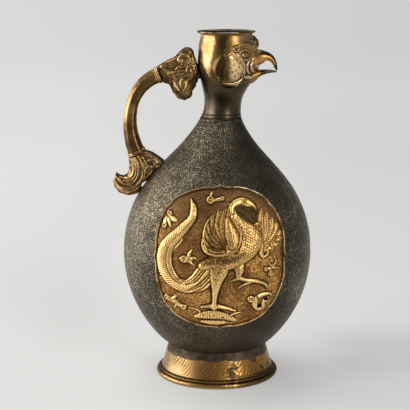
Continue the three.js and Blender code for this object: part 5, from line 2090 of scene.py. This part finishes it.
@dataclass(frozen=True)
class GiltRelief(Finish):
    """Gilt bird and clouds on a brown ring-matted ground."""

    def paint(self, on: Metal) -> None:
        """Paints the ground with the painted shadow under the bird's head, the relief over it with its painted shade,
        the rim, dimmed at its upper left as painted shade, and the holes.

        Args:
            on: the material.
        """
        figure, hollow, hole, frame, tint = map(on.mark, ("figure", "hollow", "hole", "frame", "tint"))
        rings = on.use(on.effects.matting, Place=on.place)["Height"]
        ground = on.mix((on.broad + on.uneven(0.8)).span(0.3, 0.7), (0.34, 0.145, 0.045), (0.86, 0.46, 0.13))
        pits = on.mix(0.75, ground, (0.07, 0.032, 0.012))
        ground = on.mix(rings * on.fine.span(0.35, 0.6), pits, ground)
        ground = on.mix(on.z.span(0.13, 0.165) * 0.85, ground, (0.135, 0.07, 0.032))
        # the hollow mark darkens the ground in its hollows and in the painted shadow under the bird's head
        ground = on.mix(hollow.span(0.52, 0.8), ground, (0.05, 0.031, 0.012))
        gold = on.gilded(hollow, Middle=(0.6, 0.32, 0.085), Bright=(0.96, 0.63, 0.25), Deep=(0.13, 0.06, 0.018))
        warm = on.x.span(-0.024, -0.008, 0.0, 0.36) * on.z.span(0.09, 0.115)
        # olive brown: the colour of the painted shade on the wings and the bird's back
        olive = on.mix(on.fine.span(0.35, 0.65), (0.075, 0.04, 0.011), (0.26, 0.138, 0.036))
        relief = on.mix(tint.span(0.1, 0.9), on.mix(warm, gold["Color"], (0.52, 0.275, 0.07)), olive)
        colour = on.mix((figure + (on.fine - 0.5) * 0.5).span(0.3, 0.85), ground, relief)
        # painted shade: the pale rim is dimmed at the upper left
        faint = on.x.span(0.02, -0.006) * on.z.span(0.11, 0.135)
        rim = frame.span(0.72, 0.97) * on.middle.span(0.38, 0.52) * (faint * -0.6 + 1.0)
        colour = on.mix(rim, colour, (0.92, 0.72, 0.44))
        on.dress(Base_Color=on.mix(hole, colour, (0.012, 0.009, 0.007)), Roughness=figure * -0.1 + 0.46)
        on.bump(rings * (1.0 - figure) + on.fine, 0.22, 0.9)


@dataclass(frozen=True)
class HeadGilding(Finish):
    """Gilding of the head that ends unevenly over the smooth dark neck."""

    def paint(self, on: Metal) -> None:
        """Paints the bare neck with painted shade under the head and on its right, the gilding above its ragged edge,
        and a stripe through it that is partly worn gilding and partly a painted dark reflection, with painted shade
        beside the stripe and round the eye and a painted highlight on the cheek.

        Args:
            on: the material.
        """
        inside = on.mark("inside")
        edge = on.x.span(0.018, 0.026) * 0.0035 + on.uneven(0.016) + on.x.span(0.004, -0.014) * 0.022 + 0.2555
        above = (on.z - edge).span(-0.0012, 0.0012)
        # stripe of bare olive metal beside the highlight: partly worn gilding, partly a painted dark reflection
        aside = on.x - (on.z * 0.124 + on.uneven(0.012) - 0.0304)
        stripe = abs(aside).span(0.006, 0.0042) * on.z.span(0.302, 0.295)
        bare = on.clouded((0.075, 0.057, 0.032), (0.16, 0.122, 0.078))
        bare = on.mix(stripe * above, bare, (0.17, 0.085, 0.018))
        # painted shade on the neck's right side and just under the head
        bare = on.mix(on.x.span(0.001, 0.013, 0.0, 0.62) | on.z.span(0.232, 0.246, 0.0, 0.6), bare,
                      (0.045, 0.033, 0.018))
        # dark joints on the seam lines; the lining inside the throat is painted near black as shade
        bare = on.mix(on.mark("seam") * 0.85 | inside, bare, (0.014, 0.01, 0.007))
        gold = on.gilded(on.mark("hollow"), Bright=(0.6, 0.435, 0.275), Middle=(0.4, 0.2, 0.045))
        # painted shade: a darker brown band on the gilding beside the stripe
        brown = aside.span(0.0, 0.004) * aside.span(0.019, 0.011) * 0.72
        gilding = on.mix(brown, gold["Color"], (0.27, 0.145, 0.032))
        # painted shade round the eye
        eye = on.away((0.0275, 0.0, 0.2845), (1.0, 0.0, 0.9)) + on.uneven(0.005)
        gilding = on.mix(eye.span(0.0072, 0.0045, 0.0, 0.55), gilding, (0.24, 0.125, 0.03))
        # painted highlight: pale gold on the cheek, with a rougher surface there
        cheek = on.away((0.0183, 0.0, 0.2715), (1.0, 0.0, 0.6)) + on.uneven(0.005)
        cheek = cheek.span(0.0085, 0.0022)
        gilding = on.mix(cheek * 0.85, gilding, (1.0, 0.72, 0.35))
        # where the gilding stays: off the neck, the lining and the stripe of painted dark reflection
        worn = above * (1.0 - stripe * 0.92) * (1.0 - inside)
        on.dress(Base_Color=on.mix(worn, bare, gilding),
                 Roughness=on.mix(worn, (0.33, 0.33, 0.33), cheek * 0.2 + gold["Roughness"]))
        on.bump(on.fine, 0.1, 0.5)


@dataclass(frozen=True)
class HandleGilding(Finish):
    """Rubbed gilding of the handle: bright ridges, olive-brown flats, dark ends."""

    def paint(self, on: Metal) -> None:
        """Paints the gilding, darker at both ends and in specks, with painted shade on the low part of the leaf next
        to the body.

        Args:
            on: the material.
        """
        gold = on.gilded(on.mark("hollow"), Bright=(0.58, 0.37, 0.165), Middle=(0.3, 0.16, 0.05),
                         Deep=(0.04, 0.022, 0.01))
        tops = (on.z.span(0.277, 0.284) + on.z.span(0.2475, 0.243)) * on.x.span(-0.048, -0.04)
        # painted shade on the low part of the leaf, next to the body
        low = on.z.span(0.206, 0.196) * on.x.span(-0.067, -0.053)
        specks = on.noise(on.place, 560, 2, 0.5).span(0.5, 0.6) * on.middle.span(0.42, 0.58, 0.1, 0.8)
        dark = tops * 0.7 | low * 0.25 | specks
        on.dress(Base_Color=on.mix(dark, gold["Color"], (0.07, 0.052, 0.03)), Roughness=gold["Roughness"])
        on.bump(on.fine, 0.14, 0.6)


@dataclass(frozen=True)
class FootGilding(Finish):
    """Worn gilding of the foot, with a dark band at its top and dark patches."""

    def paint(self, on: Metal) -> None:
        """Paints the gilding, turned darker brown towards the middle and right as painted shade, and the bare places:
        the top band, patches, and the foot's low right.

        Args:
            on: the material.
        """
        hollow = on.mark("hollow")
        spot = on.away((0.016, -0.045, 0.0105), (0.9, 0.15, 0.8)) + (on.noise(on.place, 330, 3, 0.6) - 0.5) * 0.024
        patches = (on.broad + on.uneven(0.8)).span(0.64, 0.7) | spot.span(0.0048, 0.0038)
        base = on.z.span(0.0078, 0.0069) * on.z.span(0.0054, 0.006) * on.middle.span(0.35, 0.5)
        right = on.x.span(0.018, 0.024) * (on.z + on.uneven(0.006)).span(0.0098, 0.0086) * 0.85
        dark = (on.z + on.uneven(0.007)).span(0.0212, 0.0222) | patches | base | right | on.mark("inside")
        olive = on.mix(on.fine.span(0.35, 0.65), (0.035, 0.024, 0.01), (0.13, 0.08, 0.03))
        bare = on.mix(on.z.span(0.0205, 0.0185), on.clouded((0.045, 0.03, 0.02), (0.13, 0.092, 0.062)), olive)
        gold = on.gilded(hollow, Bright=(0.45, 0.29, 0.135), Middle=(0.26, 0.13, 0.035))
        # painted shade: the gilding keeps its pale gold on the left and turns darker brown towards the middle and
        # right
        warm = on.mix(hollow.span(0.42, 0.8) * 0.8, (0.4, 0.195, 0.042), (0.06, 0.03, 0.01))
        gilding = on.mix(on.x.span(-0.032, -0.004, 0.0, 0.8), gold["Color"], warm)
        gilding = on.mix(on.z.span(0.0048, 0.0042) * 0.75, gilding, (0.42, 0.25, 0.095))
        gilding = on.mix(on.noise(on.place, 780, 2, 0.5).span(0.5, 0.64) * 0.42, gilding, (0.11, 0.06, 0.016))
        on.dress(Base_Color=on.mix(dark, gilding, bare),
                 Roughness=on.mix(dark, gold["Roughness"], (0.48, 0.48, 0.48)))
        on.bump(on.fine + dark * -0.6, 0.16, 0.6)


@dataclass(frozen=True)
class BeakBronze(Finish):
    """Dark bronze beak with a gilt band along the lower side of its upper half."""

    def paint(self, on: Metal) -> None:
        """Paints the bronze, the band and the root of the lower half.

        Args:
            on: the material.
        """
        band = (on.mark("top") + on.uneven(0.6)).span(0.45, 0.15) * on.mark("run").span(0.9, 0.8)
        jaw = on.x.span(0.0415, 0.0375) * on.z.span(0.256, 0.2585)
        gilt = band * on.z.span(0.2675, 0.27) | jaw * 0.5
        on.dress(Base_Color=on.mix(gilt, on.clouded((0.035, 0.026, 0.016), (0.11, 0.085, 0.05)), (0.6, 0.3, 0.09)),
                 Roughness=on.fine.span(0.3, 0.7, 0.3, 0.44))
        on.bump(on.fine, 0.1, 0.5)


@dataclass(frozen=True)
class LipBronze(Finish):
    """Dark lip with gilding left on its underside."""

    def paint(self, on: Metal) -> None:
        """Paints the bronze, its dark top and inner side, where the dark is partly painted shade inside the mouth,
        and the gilding.

        Args:
            on: the material.
        """
        lip = on.mark("lip")
        # near black on the lip's top and inner side; on the inner side it is painted shade inside the mouth
        bare = on.mix(lip.span(0.9, 1.0), on.clouded((0.05, 0.04, 0.025), (0.34, 0.25, 0.14)), (0.03, 0.024, 0.018))
        on.dress(Base_Color=on.mix((lip + on.uneven(0.9)).span(0.62, 0.4), bare, (0.6, 0.36, 0.13)),
                 Roughness=on.fine.span(0.3, 0.7, 0.32, 0.5))
        on.bump(on.fine, 0.14, 0.6)


def make_finishes() -> dict[str, bpy.types.Material]:
    """Makes every finish of the ewer.

    Returns:
        The materials by name.
    """
    effects = EffectGroups()
    finishes = (
        ChasedBronze("chased bronze", 0.85, 0.5), GiltRelief("gilt relief"), HeadGilding("head gilding"),
        HandleGilding("handle gilding"), FootGilding("foot gilding"), BeakBronze("beak bronze"),
        LipBronze("lip bronze", 0.95), Finish("dark bronze", 0.9, 0.4),
    )
    return {finish.name: finish.make(effects) for finish in finishes}


# Studio, in metres


@dataclass(frozen=True)
class Lamp:
    """A soft lamp that faces a place on the ewer."""

    name: str
    place: Spot
    size: tuple[float, float]
    power: float
    aim: Spot = (0, 0, 0.15)

    def make(self) -> None:
        """Adds the lamp."""
        data = bpy.data.lights.new(self.name, "AREA")
        data.shape, data.energy = "RECTANGLE", self.power
        data.size, data.size_y = self.size
        lamp = added(self.name, data)
        lamp.location = self.place
        lamp.rotation_euler = (Vector(self.aim) - Vector(self.place)).to_track_quat("-Z", "Y").to_euler()


@dataclass
class Studio:
    """Camera at the photograph's angle, soft lamps, pale floor and even surroundings."""

    target: Spot = (-0.00675, 0.0, 0.15067)
    distance: float = 0.951
    pitch: float = 12.5
    lens: float = 96.6
    sensor: float = 36.0
    world: float = 0.2
    sky: float = 0.66
    floor_reach: float = 15.0
    floor_shade: Spot = (0.4, 0.395, 0.386)
    card_low: Spot = (-0.75, -1.7, 0.004)
    card_high: Spot = (0.75, -0.3, 0.004)
    lamps: tuple[Lamp, ...] = (
        Lamp("left softbox", (-1.2, -0.08, 0.5), (1.6, 1.0), 17.0),
        Lamp("front strip", (0.66, -0.95, 0.6), (0.38, 0.95), 7.4),
        Lamp("top softbox", (-0.2, 0.4, 1.6), (1.3, 1.0), 14.0),
    )

    def make_camera(self) -> None:
        """Adds the camera."""
        data = bpy.data.cameras.new("camera")
        data.lens, data.sensor_width, data.sensor_fit = self.lens, self.sensor, "AUTO"
        camera = added("camera", data)
        pitch = math.radians(self.pitch)
        camera.location = Vector(self.target) + self.distance * Vector((0, -math.cos(pitch), math.sin(pitch)))
        camera.rotation_euler = (math.pi / 2 - pitch, 0, 0)
        bpy.context.scene.camera = camera

    def plane(self, name: str, low: Spot, high: Spot, material: bpy.types.Material) -> bpy.types.Object:
        """Adds a level rectangle.

        Args:
            name: its name.
            low: its corner at the lowest x and y.
            high: the corner across.
            material: its material.

        Returns:
            The new object.
        """
        mesh = bpy.data.meshes.new(name)
        mesh.from_pydata([low, (high[0], *low[1:]), high, (low[0], *high[1:])], [], [(0, 1, 2, 3)])
        mesh.materials.append(material)
        return added(name, mesh)

    def make_floor(self) -> None:
        """Adds the pale floor, which keeps the ewer's shadow and stays pale far away, with a painted shadow to the
        right of the foot and painted shade towards its right.
        """
        paint = Paint("pale floor", Base_Color=self.floor_shade, Roughness=0.9, Specular_IOR_Level=0.1,
                      Emission_Color=(1, 1, 0.985))
        x, y, far = paint.x, paint.y, paint.vector("LENGTH", paint.place)
        rays = paint.node("ShaderNodeLightPath").outputs
        seen = Value(paint, rays["Is Camera Ray"]) | rays["Is Glossy Ray"] | rays["Is Transmission Ray"]
        # painted shade: the floor's glow falls off towards the right
        aside = (x / (far | 0.2)).span(-0.2, 0.2, 1.05, 0.9, smooth=False)
        lit = x.span(-0.06, -0.16) * far.span(1.3, 0.3)
        # painted shadow: a soft band to the right of the foot
        shade = x.span(0.08, 0.14) * abs(y - 0.05).span(0.09, 0.02)
        # painted shade on the near floor at the right
        near = x.span(0.05, 0.16) * y.span(0.05, -0.05)
        glow = far.span(0.1, 2.4, 0.345, 0.585) * aside - shade * 0.085 - lit * 0.06 - near * 0.035
        paint.dress(Emission_Strength=seen * glow)
        reach = self.floor_reach
        floor = self.plane("floor", (-reach, -reach, 0), (reach, reach, 0), paint.material)

    def make_card(self) -> None:
        """Adds the dark card that lies in front, out of view, and keeps the metal's front face dark."""
        velvet = Paint("black velvet", Base_Color=(0.03, 0.028, 0.025), Roughness=1.0)
        card = self.plane("dark card", self.card_low, self.card_high, velvet.material)
        card.visible_camera = card.visible_shadow = card.visible_diffuse = False

    def make(self) -> None:
        """Sets up the whole studio."""
        scene = bpy.context.scene
        scene.view_settings.view_transform = "Standard"
        world = scene.world or bpy.data.worlds.new("world")
        scene.world = world
        world.use_nodes = True
        back = world.node_tree.nodes["Background"].inputs
        net = Net(world.node_tree)
        seen = Value(net, net.node("ShaderNodeLightPath").outputs["Is Camera Ray"])
        net.put(back["Color"], (1.0, 1.0, 1.0))
        net.put(back["Strength"], seen.span(0, 1, self.world, self.sky, smooth=False))
        self.make_camera()
        self.make_floor()
        self.make_card()
        for lamp in self.lamps:
            lamp.make()


def main() -> None:
    """Builds the ewer and its studio in order."""
    logging.basicConfig(level=logging.INFO, format="%(name)s %(message)s")
    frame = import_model()
    low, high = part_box("foot_rim")
    shop = Workshop((low.x + high.x) / 2, make_finishes())
    Studio().make()
    Foot().make(shop)
    Body().make(shop)
    for side in Side:
        Medallion().make(shop, side)
    Rivets().make(shop)
    head = BirdHead()
    head.make(shop)
    head.make_punches(shop)
    MouthRim().make(shop)
    Beak().make(shop)
    Handle().make(shop)
    for name in ("handle_head_lug", "handle_leaf_pin_high", "handle_leaf_pin_low"):
        kept = frame["nodes"][name]
        kept.data.materials.clear()
        kept.data.materials.append(shop.finishes["dark bronze"])
        LOG.info("%s: kept from the solids", name)


if __name__ == "__main__":
    main()
